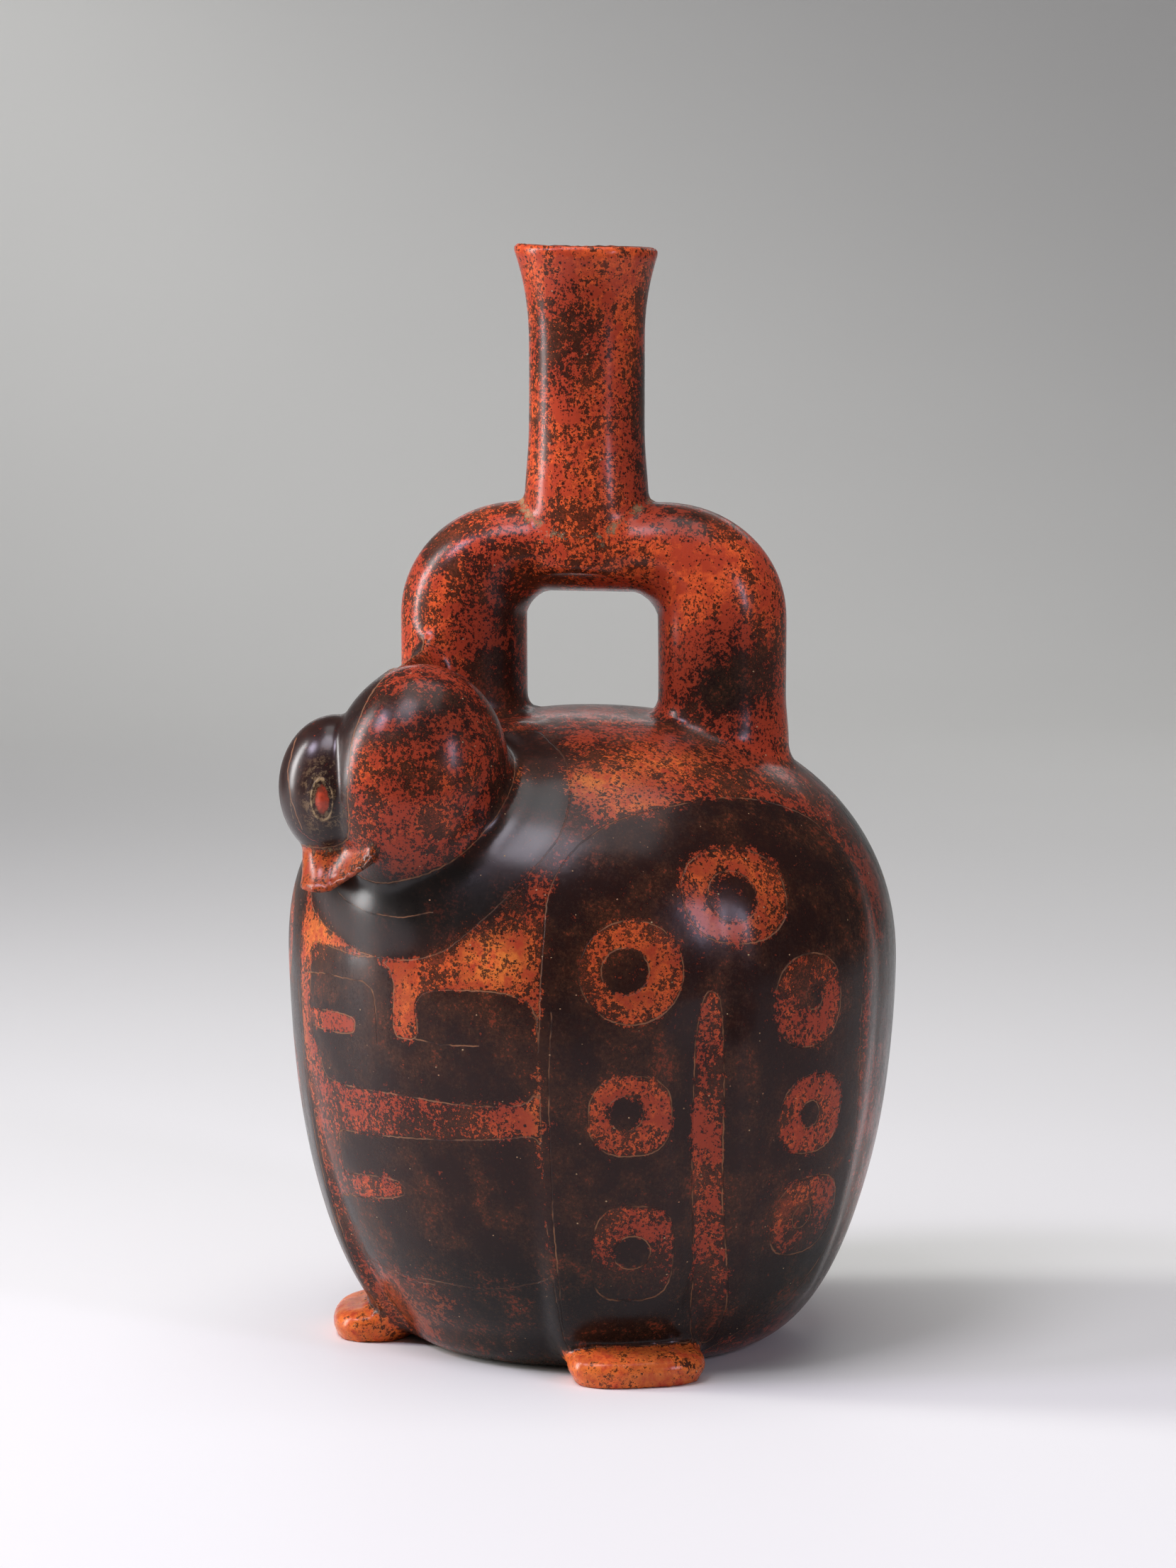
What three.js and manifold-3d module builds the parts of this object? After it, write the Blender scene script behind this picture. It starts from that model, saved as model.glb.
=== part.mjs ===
// A stirrup spout vessel of burnished clay: a squatting, ring-spotted animal whose hollow body is the
// chamber. Its head turns to its right above the breast, two bent legs lie in low relief on the flanks,
// and an arched stirrup of two tubes carries the spout. Millimetres and degrees, +Z up; the animal's
// front faces -Y, and a side angle is turned from there towards +X.
import * as THREE from 'three';
import Module from 'manifold-3d';

const wasm = await Module();
wasm.setup();

// Body
const BODY_HEIGHT = 145;
const BELLY_RADIUS = 69.5;
const BELLY_HEIGHT = 87;
const BASE_RADIUS = 36;
const BASE_FULLNESS = 1.9;
const SHOULDER_FULLNESS = 2.2;
const BODY_WALL = 5.5;

// Collar: a soft roll of clay round the foot of the head
const COLLAR_SIDE = -4;
const COLLAR_SEAT = 0.48;
const COLLAR_REACH = 38;
const COLLAR_CREST = 26;
const COLLAR_RISE = 2.8;

// Legs in relief on both flanks, and the feet below them
const SHIN_SIDE = 31;
const SHIN_RISE = 0.8;
const SHIN_TOP = 78;
const BELLY_HOLLOW = 2.2;
const CREASE_SIDE = 59.5;
const CREASE_LEAN = 4.5;
const CREASE_WIDTH = 4.2;
const CREASE_DEPTH = 2.4;
const CREASE_TOP = 88;
const CREASE_FOOT = 18;
const CREASE_FADE = 12;
const CALF_OFFSET = 6.7;
const CALF_RISE = 0.9;
const THIGH_RISE = 1.1;
const THIGH_BACK = 104;
const THIGH_TOP = 122;
const THIGH_FADE = 20;
const KNEE_RISE = 1;
const KNEE_SIDE = 50;
const KNEE_HEIGHT = 112;
const KNEE_WIDTH = 20;
const KNEE_SPAN = 16;
const EDGE_SOFTNESS = 4;
const FOOT_SIDE = 51;
const FOOT_LENGTH = 31;
const FOOT_WIDTH = 19;
const FOOT_HEIGHT = 9.2;
const FOOT_REACH = 15;
const FOOT_SQUARENESS = 0.75;
const FOOT_FLATNESS = 0.72;
const SOLE_SHARE = 0.9;
const ANKLE_TURN = -0.83;
const TOE_DROP = 0.3;

// Stirrup
const STIRRUP_SIDE = 120;
const BRANCH_SPREAD = 29.8;
const BRANCH_RADIUS = 14.6;
const BRIDGE_HALF_HEIGHT = 10.1;
const BRIDGE_HALF_DEPTH = 13.4;
const BRIDGE_RISE = 36.3;
const BEND_RADIUS = 16;
const SWELL_LEAD = 0.13;
const FLARE = 0.8;
const FLARE_HEIGHT = 8;
const BRANCH_DEPTH = 28;
const STIRRUP_WALL = 4;

// Spout
const SPOUT_LENGTH = 68.7;
const SPOUT_RADIUS = 13.3;
const SPOUT_FOOT_RADIUS = 14.3;
const MOUTH_RADIUS = 17.1;
const MOUTH_FLARE = 22;
const MOUTH_CURVE = 2.2;
const SPOUT_FOOT_START = 0.1;
const SPOUT_FOOT_END = 0.4;
const TOE_SHARE = 0.6;
const SPOUT_WALL = 4;
const SPOUT_SHIFT = 1.3;
const SPOUT_SHIFT_SIDE = -50;
const RIM_ROUND = 1.4;

// Head
const HEAD_SIDE = -1.7;
const HEAD_SEAT = 0.397;
const HEAD_LIFT = 10.8;
const HEAD_RADIUS = 20;
const HEAD_HALF_HEIGHT = 25.2;
const HEAD_LEAN = 7;
const HEAD_WALL = 5.5;
const FACE_SIDE = -58;
const FACE_REACH = 18.2;
const FACE_DROP = 2.3;
const FACE_DEPTH = 12.8;
const FACE_HALF_WIDTH = 12.5;
const FACE_HALF_HEIGHT = 16;

// Eyes, one on each side of the face
const EYE_SIDE = 86;
const EYE_DROP = 1.5;
const EYE_HALF_WIDTH = 2.7;
const EYE_HALF_HEIGHT = 5.2;
const EYE_HALF_DEPTH = 1.8;

// Lip: a flared flange that rises round the back of the face on both sides
const LIP_TOP = 12.5;
const LIP_DROP = 10;
const LIP_FLARE = 4.5;
const LIP_THICK = 3.4;
const LIP_INSET = 2.2;
const LIP_ARM = 11;
const LIP_RISE = 6;
const LIP_THIN = 0.55;

// The lip's cross section: how far to its side, in half thicknesses, and how far down its drop
const LIP_SECTION = [[-1, 0], [-1, 0.5], [-1, 0.9], [-0.4, 1.05], [0.4, 1.05], [1, 0.9], [1, 0.5], [1, 0]];

// Neck: a ridge of clay that narrows from the crown of the head to the branch behind it
const NECK_SIDE = -8;
const NECK_THICK = 13;
const NECK_END_THICK = 3.6;
const NECK_SINK = 1.5;
const NECK_END_RISE = 17;
const NECK_OVERRUN = 1.25;

// A small step along the body's outline, to find which way its surface faces
const TURN_STEP = 0.01;

const UP = new THREE.Vector3(0, 0, 1);
const radians = THREE.MathUtils.degToRad;

function smoothstep(start, end, value) {
  const share = THREE.MathUtils.clamp((value - start) / (end - start), 0, 1);
  return share * share * (3 - 2 * share);
}

function spread(from, to, steps) {
  return Array.from({ length: steps }, (_, i) => from + (to - from) * i / steps);
}

// The level direction at a side angle.
function outward(side) {
  return new THREE.Vector3(Math.sin(radians(side)), -Math.cos(radians(side)), 0);
}

// A closed skin over a stack of rings, drawn in to the middle of the ring at each end.
function skin(rings) {
  const sides = rings[0].length;
  const middle = ring => ring.reduce((sum, p) => sum.add(p), new THREE.Vector3()).divideScalar(sides);
  const points = [middle(rings[0]), ...rings.flat(), middle(rings.at(-1))];
  const last = points.length - 1;
  const triangles = [];
  for (let j = 0; j < sides; j++) {
    const next = (j + 1) % sides;
    triangles.push([0, 1 + next, 1 + j]);
    triangles.push([last, last - sides + j, last - sides + next]);
    for (let i = 0; i < rings.length - 1; i++) {
      const low = 1 + i * sides;
      const high = low + sides;
      triangles.push([low + j, low + next, high + next], [low + j, high + next, high + j]);
    }
  }
  return solid(points, triangles);
}

// A solid from points and triangles, with its faces turned outwards.
function solid(points, triangles) {
  const volume = triangles.reduce((sum, [a, b, c]) =>
    sum + points[a].dot(new THREE.Vector3().crossVectors(points[b], points[c])), 0);
  const outwards = volume > 0 ? triangles : triangles.map(([a, b, c]) => [a, c, b]);
  return new wasm.Manifold(new wasm.Mesh({
    numProp: 3,
    vertProperties: Float32Array.from(points.flatMap(p => p.toArray())),
    triVerts: Uint32Array.from(outwards.flat()),
  }));
}

// The body's outline: turn runs from -1 at the base, over 0 at the belly, to 1 at the crown.
function bodyOutline(turn, inset) {
  const angle = Math.abs(turn) * Math.PI / 2;
  if (turn < 0) {
    const swell = (BELLY_RADIUS - BASE_RADIUS) * Math.cos(angle);
    const drop = (BELLY_HEIGHT - inset) * Math.sin(angle) ** (2 / BASE_FULLNESS);
    return { radius: BASE_RADIUS - inset + swell, height: BELLY_HEIGHT - drop };
  }
  const rise = Math.sin(angle) ** (2 / SHOULDER_FULLNESS);
  return {
    radius: (BELLY_RADIUS - inset) * Math.cos(angle) ** (2 / SHOULDER_FULLNESS),
    height: BELLY_HEIGHT + (BODY_HEIGHT - inset - BELLY_HEIGHT) * rise,
  };
}

function onBody(turn, side, inset) {
  const { radius, height } = bodyOutline(turn, inset);
  return outward(side).multiplyScalar(radius).setZ(height);
}

// 1 between two bounds, with soft edges, and 0 outside them.
function band(start, end, softness, value) {
  const rise = smoothstep(start - softness, start + softness, value);
  return rise * (1 - smoothstep(end - softness, end + softness, value));
}

function bump(middle, width, value) {
  return Math.exp(-(((value - middle) / width) ** 2));
}

// How far the legs stand out of the flank, or lie in it, at a side angle and a height.
function legRelief(side, height) {
  const turn = Math.abs(side);
  const crease = CREASE_SIDE + CREASE_LEAN * smoothstep(BODY_HEIGHT / 2, CREASE_FOOT, height);
  const aboveFoot = smoothstep(FOOT_HEIGHT, CREASE_FOOT, height);
  const creaseAlong = aboveFoot * (1 - smoothstep(CREASE_TOP - CREASE_FADE, CREASE_TOP, height));
  const fold = bump(crease, CREASE_WIDTH, turn) * creaseAlong;
  const calf = bump(crease + CALF_OFFSET, CREASE_WIDTH, turn) * creaseAlong;
  const low = 1 - smoothstep(FOOT_HEIGHT, SHIN_TOP, height);
  const shin = band(SHIN_SIDE, crease, EDGE_SOFTNESS, turn) * low;
  const belly = (1 - smoothstep(SHIN_SIDE - EDGE_SOFTNESS, SHIN_SIDE + EDGE_SOFTNESS / 2, turn)) * low;
  const thighAlong = aboveFoot * (1 - smoothstep(THIGH_TOP - THIGH_FADE, THIGH_TOP, height));
  const thigh = band(crease + 2 * EDGE_SOFTNESS, THIGH_BACK, EDGE_SOFTNESS, turn) * thighAlong;
  const knee = bump(KNEE_SIDE, KNEE_WIDTH, turn) * bump(KNEE_HEIGHT, KNEE_SPAN, height);
  const raised = SHIN_RISE * shin + CALF_RISE * calf + THIGH_RISE * thigh + KNEE_RISE * knee;
  return (raised - BELLY_HOLLOW * belly - CREASE_DEPTH * fold) * smoothstep(0, FOOT_HEIGHT, height);
}

function collarRelief(point) {
  const away = point.distanceTo(onBody(COLLAR_SEAT, COLLAR_SIDE, 0));
  const inner = smoothstep(COLLAR_CREST / 2, COLLAR_CREST, away);
  return COLLAR_RISE * inner * (1 - smoothstep(COLLAR_CREST, COLLAR_REACH, away));
}

// The body's outer skin. Its columns stand closer where the leg's edges and crease run.
function body() {
  const shinStart = SHIN_SIDE - EDGE_SOFTNESS;
  const shinFlat = SHIN_SIDE + EDGE_SOFTNESS;
  const creaseStart = CREASE_SIDE - CREASE_WIDTH;
  const calfEnd = CREASE_SIDE + CALF_OFFSET + CREASE_WIDTH + EDGE_SOFTNESS;
  const thighEnd = THIGH_BACK + EDGE_SOFTNESS;
  const half = [
    ...spread(0, shinStart, 4),
    ...spread(shinStart, shinFlat, 3),
    ...spread(shinFlat, creaseStart, 3),
    ...spread(creaseStart, calfEnd, 6),
    ...spread(calfEnd, thighEnd, 4),
    ...spread(thighEnd, 180, 8),
  ];
  const sides = [...half, 180, ...half.slice(1).reverse().map(side => -side)];
  const turns = [...spread(-1, 0, 14), ...spread(0, 1, 12)];
  const rings = turns.map(turn => sides.map(side => {
    const point = onBody(turn, side, 0);
    const above = onBody(Math.min(turn + TURN_STEP, 1), side, 0);
    const below = onBody(Math.max(turn - TURN_STEP, -1), side, 0);
    const normal = outward(side + 90).cross(above.sub(below)).normalize();
    const rise = turn > -1 ? legRelief(side, point.z) + collarRelief(point) : 0;
    return point.addScaledVector(normal, rise);
  }));
  return skin(rings);
}

function chamber() {
  const turns = [...spread(-1, 0, 7), ...spread(0, 1, 8)];
  return skin(turns.map(turn => spread(0, 360, 36).map(side => onBody(turn, side, BODY_WALL))));
}

// An egg or disc shape at a place, with its three half sizes along three square axes.
function ellipsoid(centre, axes, halves, sides, rows) {
  const angles = Array.from({ length: rows }, (_, i) => Math.PI * (i + 0.5) / rows);
  return skin(angles.map(angle => spread(0, 2 * Math.PI, sides).map(round => centre.clone()
    .addScaledVector(axes[0], halves[0] * Math.sin(angle) * Math.cos(round))
    .addScaledVector(axes[1], halves[1] * Math.sin(angle) * Math.sin(round))
    .addScaledVector(axes[2], -halves[2] * Math.cos(angle)))));
}

// A cosine or a sine drawn out towards the corners of a square.
function squared(value) {
  return Math.sign(value) * Math.abs(value) ** FOOT_SQUARENESS;
}

// A foot: a slab with a rounded outline, flat below and rounded above, across its leg's direction.
function foot(hand) {
  const ahead = outward(hand * FOOT_SIDE);
  const across = outward(hand * FOOT_SIDE + 90);
  const middle = bodyOutline(ANKLE_TURN, 0).radius + FOOT_REACH - FOOT_WIDTH / 2;
  const sole = { size: SOLE_SHARE, height: 0 };
  const upper = spread(0.27, 1.07, 5).map(share => ({
    size: FOOT_FLATNESS + (1 - FOOT_FLATNESS) * Math.sin(Math.PI * share),
    height: FOOT_HEIGHT * (1 - Math.cos(Math.PI * share)) / 2,
  }));
  return skin([sole, ...upper].map(({ size, height }) => spread(0, 2 * Math.PI, 18).map(round => {
    const out = squared(Math.sin(round));
    const drop = 1 - TOE_DROP * (1 + out) / 2;
    return ahead.clone().multiplyScalar(middle + FOOT_WIDTH / 2 * size * out)
      .addScaledVector(across, -FOOT_LENGTH / 2 * size * squared(Math.cos(round)))
      .setZ(height * drop);
  })));
}

// The stirrup's middle line over one half, from the bridge's middle down: how far out, how high, the
// way it points, and the tube's half sizes in the stirrup's plane and across it.
function stirrupHalf() {
  const bridge = BODY_HEIGHT + BRIDGE_RISE;
  const corner = BRANCH_SPREAD - BEND_RADIUS;
  const bendFoot = bridge - BEND_RADIUS;
  const flareTop = BODY_HEIGHT + FLARE_HEIGHT / 2;
  const foot = BODY_HEIGHT - BRANCH_DEPTH;
  const level = { up: bridge, dip: 0, inPlane: BRIDGE_HALF_HEIGHT, across: BRIDGE_HALF_DEPTH };
  const stops = spread(0, corner, 3).map(out => ({ ...level, out }));
  for (const share of spread(0, 1, 7)) {
    const dip = share * Math.PI / 2;
    const swell = smoothstep(-SWELL_LEAD, 1 - SWELL_LEAD / 2, share);
    stops.push({
      out: corner + BEND_RADIUS * Math.sin(dip),
      up: bendFoot + BEND_RADIUS * Math.cos(dip),
      dip,
      inPlane: BRIDGE_HALF_HEIGHT + (BRANCH_RADIUS - BRIDGE_HALF_HEIGHT) * swell,
      across: BRIDGE_HALF_DEPTH + (BRANCH_RADIUS - BRIDGE_HALF_DEPTH) * swell,
    });
  }
  for (const up of [...spread(bendFoot, flareTop, 3), ...spread(flareTop, foot, 8), foot]) {
    const radius = BRANCH_RADIUS + FLARE * (1 - smoothstep(BODY_HEIGHT - FLARE_HEIGHT, flareTop, up));
    stops.push({ out: BRANCH_SPREAD, up, dip: Math.PI / 2, inPlane: radius, across: radius });
  }
  return stops;
}

// The tube of the stirrup, thinner by the inset all round.
function stirrup(inset, sides) {
  const half = stirrupHalf();
  const mirrored = half.slice(1).reverse().map(stop => ({ ...stop, out: -stop.out, dip: -stop.dip }));
  const plane = outward(STIRRUP_SIDE);
  const through = outward(STIRRUP_SIDE + 90);
  return skin([...mirrored, ...half].map(({ out, up, dip, inPlane, across }) => {
    const away = plane.clone().multiplyScalar(Math.sin(dip)).addScaledVector(UP, Math.cos(dip));
    return spread(0, 2 * Math.PI, sides).map(round => plane.clone().multiplyScalar(out).setZ(up)
      .addScaledVector(away, (inPlane - inset) * Math.cos(round))
      .addScaledVector(through, (across - inset) * Math.sin(round)));
  }));
}

function spoutRadius(share) {
  const nearFoot = 1 - smoothstep(SPOUT_FOOT_START, SPOUT_FOOT_END, share);
  const nearMouth = Math.max(0, 1 - SPOUT_LENGTH * (1 - share) / MOUTH_FLARE) ** MOUTH_CURVE;
  const foot = (SPOUT_FOOT_RADIUS - SPOUT_RADIUS) * nearFoot;
  return SPOUT_RADIUS + foot + (MOUTH_RADIUS - SPOUT_RADIUS) * nearMouth;
}

// The spout stands on the middle of the bridge, its toe sunk in it, and flares to a rounded rim.
function spout() {
  const bridge = BODY_HEIGHT + BRIDGE_RISE;
  const rings = [...spread(0, 0.66, 4), ...spread(0.66, 0.98, 6)].map(share => ({
    radius: spoutRadius(share),
    height: bridge + SPOUT_LENGTH * share,
  }));
  for (const angle of spread(0, Math.PI / 2, 3).concat(Math.PI / 2)) {
    rings.push({
      radius: MOUTH_RADIUS - RIM_ROUND * (1 - Math.cos(angle)),
      height: bridge + SPOUT_LENGTH - RIM_ROUND * (1 - Math.sin(angle)),
    });
  }
  const toe = { radius: BRIDGE_HALF_DEPTH * TOE_SHARE, height: bridge - BRIDGE_HALF_HEIGHT / 2 };
  return lathe([toe, ...rings], 24);
}

function spoutBore() {
  const bridge = BODY_HEIGHT + BRIDGE_RISE;
  const rings = [...spread(0, 0.7, 2), ...spread(0.7, 1, 5)].map(share => ({
    radius: spoutRadius(share) - SPOUT_WALL,
    height: bridge + SPOUT_LENGTH * share,
  }));
  for (const angle of spread(0, Math.PI / 2, 2).concat(Math.PI / 2)) {
    rings.push({
      radius: MOUTH_RADIUS - SPOUT_WALL + RIM_ROUND * (1 - Math.cos(angle)),
      height: bridge + SPOUT_LENGTH - RIM_ROUND * (1 - Math.sin(angle)),
    });
  }
  rings.push({ ...rings.at(-1), height: bridge + SPOUT_LENGTH + SPOUT_WALL });
  return lathe(rings, 20);
}

// Rings about the spout's own middle, which stands a little off the body's.
function lathe(rings, sides) {
  const middle = outward(SPOUT_SHIFT_SIDE).multiplyScalar(SPOUT_SHIFT);
  return skin(rings.map(({ radius, height }) =>
    spread(0, 360, sides).map(side => outward(side).multiplyScalar(radius).add(middle).setZ(height))));
}

const ahead = outward(FACE_SIDE);
const beside = outward(FACE_SIDE + 90);
const crownAxis = UP.clone().multiplyScalar(Math.cos(radians(HEAD_LEAN)))
  .addScaledVector(ahead, -Math.sin(radians(HEAD_LEAN)));
const browAxis = beside.clone().cross(crownAxis);
const headCentre = onBody(HEAD_SEAT, HEAD_SIDE, 0).addScaledVector(UP, HEAD_LIFT);
const faceCentre = headCentre.clone().addScaledVector(ahead, FACE_REACH).addScaledVector(UP, -FACE_DROP);

function skull(inset, sides, rows) {
  const halves = [HEAD_RADIUS - inset, HEAD_RADIUS - inset, HEAD_HALF_HEIGHT - inset];
  return ellipsoid(headCentre, [browAxis, beside, crownAxis], halves, sides, rows);
}

function face() {
  return ellipsoid(faceCentre, [ahead, beside, UP], [FACE_DEPTH, FACE_HALF_WIDTH, FACE_HALF_HEIGHT], 18, 12);
}

// An eye stands out of the face as a low upright oval.
function eye(hand) {
  const round = radians(EYE_SIDE);
  const centre = faceCentre.clone().addScaledVector(UP, -EYE_DROP)
    .addScaledVector(ahead, FACE_DEPTH * Math.cos(round))
    .addScaledVector(beside, hand * FACE_HALF_WIDTH * Math.sin(round));
  const out = ahead.clone().multiplyScalar(Math.cos(round) / FACE_DEPTH)
    .addScaledVector(beside, hand * Math.sin(round) / FACE_HALF_WIDTH).normalize();
  const across = UP.clone().cross(out);
  return ellipsoid(centre, [across, UP, out], [EYE_HALF_WIDTH, EYE_HALF_HEIGHT, EYE_HALF_DEPTH], 12, 5);
}

// The lip: a flange like a flared skirt under the face. It bends round the front of the face and runs
// back along both sides of the head as two arms, which rise and grow shallow.
function lip() {
  const foot = Math.sqrt(1 - (LIP_TOP / FACE_HALF_HEIGHT) ** 2);
  const depth = FACE_DEPTH * foot - LIP_INSET;
  const halfWidth = FACE_HALF_WIDTH * foot - LIP_INSET;
  const bend = Array.from({ length: 11 }, (_, i) => ({ angle: Math.PI * (i / 10 - 0.5), back: 0 }));
  const arm = side => [0.35, 0.7, 1].map(back => ({ angle: side * Math.PI / 2, back }));
  return skin([...arm(-1).reverse(), ...bend, ...arm(1)].map(({ angle, back }) => {
    const way = ahead.clone().multiplyScalar(Math.cos(angle)).addScaledVector(beside, Math.sin(angle));
    const middle = faceCentre.clone()
      .addScaledVector(ahead, depth * Math.cos(angle) - LIP_ARM * back)
      .addScaledVector(beside, halfWidth * Math.sin(angle))
      .addScaledVector(UP, LIP_RISE * back - LIP_TOP);
    const flare = LIP_FLARE * Math.sin(angle) ** 2;
    const drop = LIP_DROP * (1 - LIP_THIN * back ** 2);
    return LIP_SECTION.map(([side, down]) => middle.clone()
      .addScaledVector(way, flare * down ** 2 + side * LIP_THICK / 2)
      .addScaledVector(UP, -drop * down));
  }));
}

// The neck: an upright ridge with a rounded top from inside the head to inside the branch. Its foot
// runs down into the body.
function neck() {
  const branch = outward(STIRRUP_SIDE + 180).multiplyScalar(BRANCH_SPREAD)
    .addScaledVector(outward(NECK_SIDE), BRANCH_RADIUS - NECK_END_THICK / 2);
  const start = headCentre.clone().setZ(0);
  const along = branch.clone().sub(start).normalize();
  const across = along.clone().cross(UP);
  const foot = (BODY_HEIGHT + BELLY_HEIGHT) / 2;
  const crest = headCentre.z + HEAD_HALF_HEIGHT - NECK_SINK;
  return skin(spread(0, NECK_OVERRUN, 5).map(share => {
    const middle = start.clone().lerp(branch, share);
    const half = (NECK_THICK + (NECK_END_THICK - NECK_THICK) * share) / 2;
    const top = crest + (BODY_HEIGHT + NECK_END_RISE - crest) * share;
    const arc = [0, 0.25, 0.5, 0.75, 1].map(turn =>
      [half * Math.cos(Math.PI * turn), top - half * (1 - Math.sin(Math.PI * turn))]);
    return [[half, foot], ...arc, [-half, foot]].map(([side, height]) =>
      middle.clone().addScaledVector(across, side).setZ(height));
  }));
}

// The clay of the whole vessel, then the hollow taken out of it in one.
function vessel() {
  const head = [skull(0, 22, 13), face(), eye(1), eye(-1), lip(), neck()];
  const clay = [foot(1), foot(-1), stirrup(0, 18), spout(), ...head]
    .reduce((whole, part) => whole.add(part), body());
  const hollow = [stirrup(STIRRUP_WALL, 12), spoutBore(), skull(HEAD_WALL, 14, 8)]
    .reduce((whole, part) => whole.add(part), chamber());
  return clay.subtract(hollow);
}

function geometry(manifold) {
  const { vertProperties, triVerts } = manifold.getMesh();
  const shape = new THREE.BufferGeometry();
  shape.setAttribute('position', new THREE.BufferAttribute(vertProperties, 3));
  shape.setIndex(new THREE.BufferAttribute(triVerts, 1));
  shape.computeVertexNormals();
  return shape;
}

const slip = new THREE.MeshStandardMaterial({ name: 'burnished slip', color: 0x7a2c18, roughness: 0.35 });
const mesh = new THREE.Mesh(geometry(vessel()), slip);
mesh.name = 'vessel';

// The origin is the middle of the whole box, on the ground.
const group = new THREE.Group();
group.add(mesh);
const box = new THREE.Box3().setFromObject(group);
group.position.set(-(box.min.x + box.max.x) / 2, -(box.min.y + box.max.y) / 2, -box.min.z);
group.updateMatrixWorld(true);

export default group;
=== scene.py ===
"""A burnished stirrup spout vessel in the shape of a squatting, ring-spotted animal, on a pale studio floor.

Lengths are in metres and angles in radians in the panel. The mesh code works in millimetres and degrees
about the vessel's own upright middle line, and a side angle is turned from the animal's front towards +X.
"""

import math
from types import SimpleNamespace

import bmesh
import bpy
import numpy as np
from bpy.props import FloatProperty, FloatVectorProperty, IntProperty, PointerProperty
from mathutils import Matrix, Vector


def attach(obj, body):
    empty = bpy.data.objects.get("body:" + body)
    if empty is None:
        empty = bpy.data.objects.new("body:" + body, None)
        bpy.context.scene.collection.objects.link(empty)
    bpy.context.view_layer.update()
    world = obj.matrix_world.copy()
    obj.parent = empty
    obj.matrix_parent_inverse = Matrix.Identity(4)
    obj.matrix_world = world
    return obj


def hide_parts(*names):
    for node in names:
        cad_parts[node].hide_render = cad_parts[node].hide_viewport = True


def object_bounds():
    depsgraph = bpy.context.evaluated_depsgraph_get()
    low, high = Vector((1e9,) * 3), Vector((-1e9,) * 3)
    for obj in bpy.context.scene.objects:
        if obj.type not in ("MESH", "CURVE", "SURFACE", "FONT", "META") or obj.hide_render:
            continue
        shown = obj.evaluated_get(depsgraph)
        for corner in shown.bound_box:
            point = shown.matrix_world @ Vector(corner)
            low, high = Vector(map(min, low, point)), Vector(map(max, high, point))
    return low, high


bl_info = {
    "name": "Stirrup Spout Vessel",
    "version": (1, 0, 0),
    "blender": (4, 5, 0),
    "location": "3D View > Sidebar > Vessel",
    "description": "A hollow burnished clay bottle with a stirrup handle, painted slip and incised lines",
    "category": "Object",
}

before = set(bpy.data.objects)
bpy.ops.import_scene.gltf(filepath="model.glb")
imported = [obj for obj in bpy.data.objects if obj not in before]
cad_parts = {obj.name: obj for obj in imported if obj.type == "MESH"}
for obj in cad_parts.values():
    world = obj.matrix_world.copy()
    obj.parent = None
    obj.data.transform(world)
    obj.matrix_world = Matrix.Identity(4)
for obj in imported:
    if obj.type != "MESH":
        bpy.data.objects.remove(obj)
cad_low, cad_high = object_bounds()
NODE = "vessel"
MILLI = 0.001
LARGEST_PIECE = 200000  # triangles that one piece has to stay under


def length(name, description, millimetres):
    return FloatProperty(name=name, description=description, default=millimetres * MILLI, unit="LENGTH")


def turn(name, description, degrees):
    return FloatProperty(name=name, description=description, default=math.radians(degrees), subtype="ANGLE")


def ratio(name, description, value):
    return FloatProperty(name=name, description=description, default=value, subtype="FACTOR")


def amount(name, description, value):
    return FloatProperty(name=name, description=description, default=value)


def tint(name, description, red, green, blue):
    return FloatVectorProperty(
        name=name, description=description, default=(red, green, blue), size=3, min=0, max=1, subtype="COLOR")


class BodySizes(bpy.types.PropertyGroup):
    body_height: length("Body height", "Height of the animal's body", 145)
    belly_radius: length("Belly radius", "Radius of the body where it is widest", 69.5)
    belly_height: length("Belly height", "Height at which the body is widest", 87)
    base_radius: length("Base radius", "Radius of the flat underside", 36)
    base_fullness: amount("Base fullness", "How full the outline is below the belly", 1.9)
    shoulder_fullness: amount("Shoulder fullness", "How full the outline is above the belly", 2.2)
    body_wall: length("Body wall", "Thickness of the body's wall", 5.5)
    collar_side: turn("Collar side", "Side angle of the collar's middle", -4)
    collar_seat: ratio("Collar seat", "Place of the collar's middle between belly and crown", 0.48)
    collar_crest: length("Collar crest", "Distance of the roll's crest from the collar's middle", 26)
    collar_reach: length("Collar reach", "Distance of the roll's outer edge from the collar's middle", 38)
    collar_rise: length("Collar rise", "Height of the roll of clay round the head's foot", 2.8)
    unevenness: length("Unevenness", "Height of the slow hills that hand building leaves", 0.16)


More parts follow.
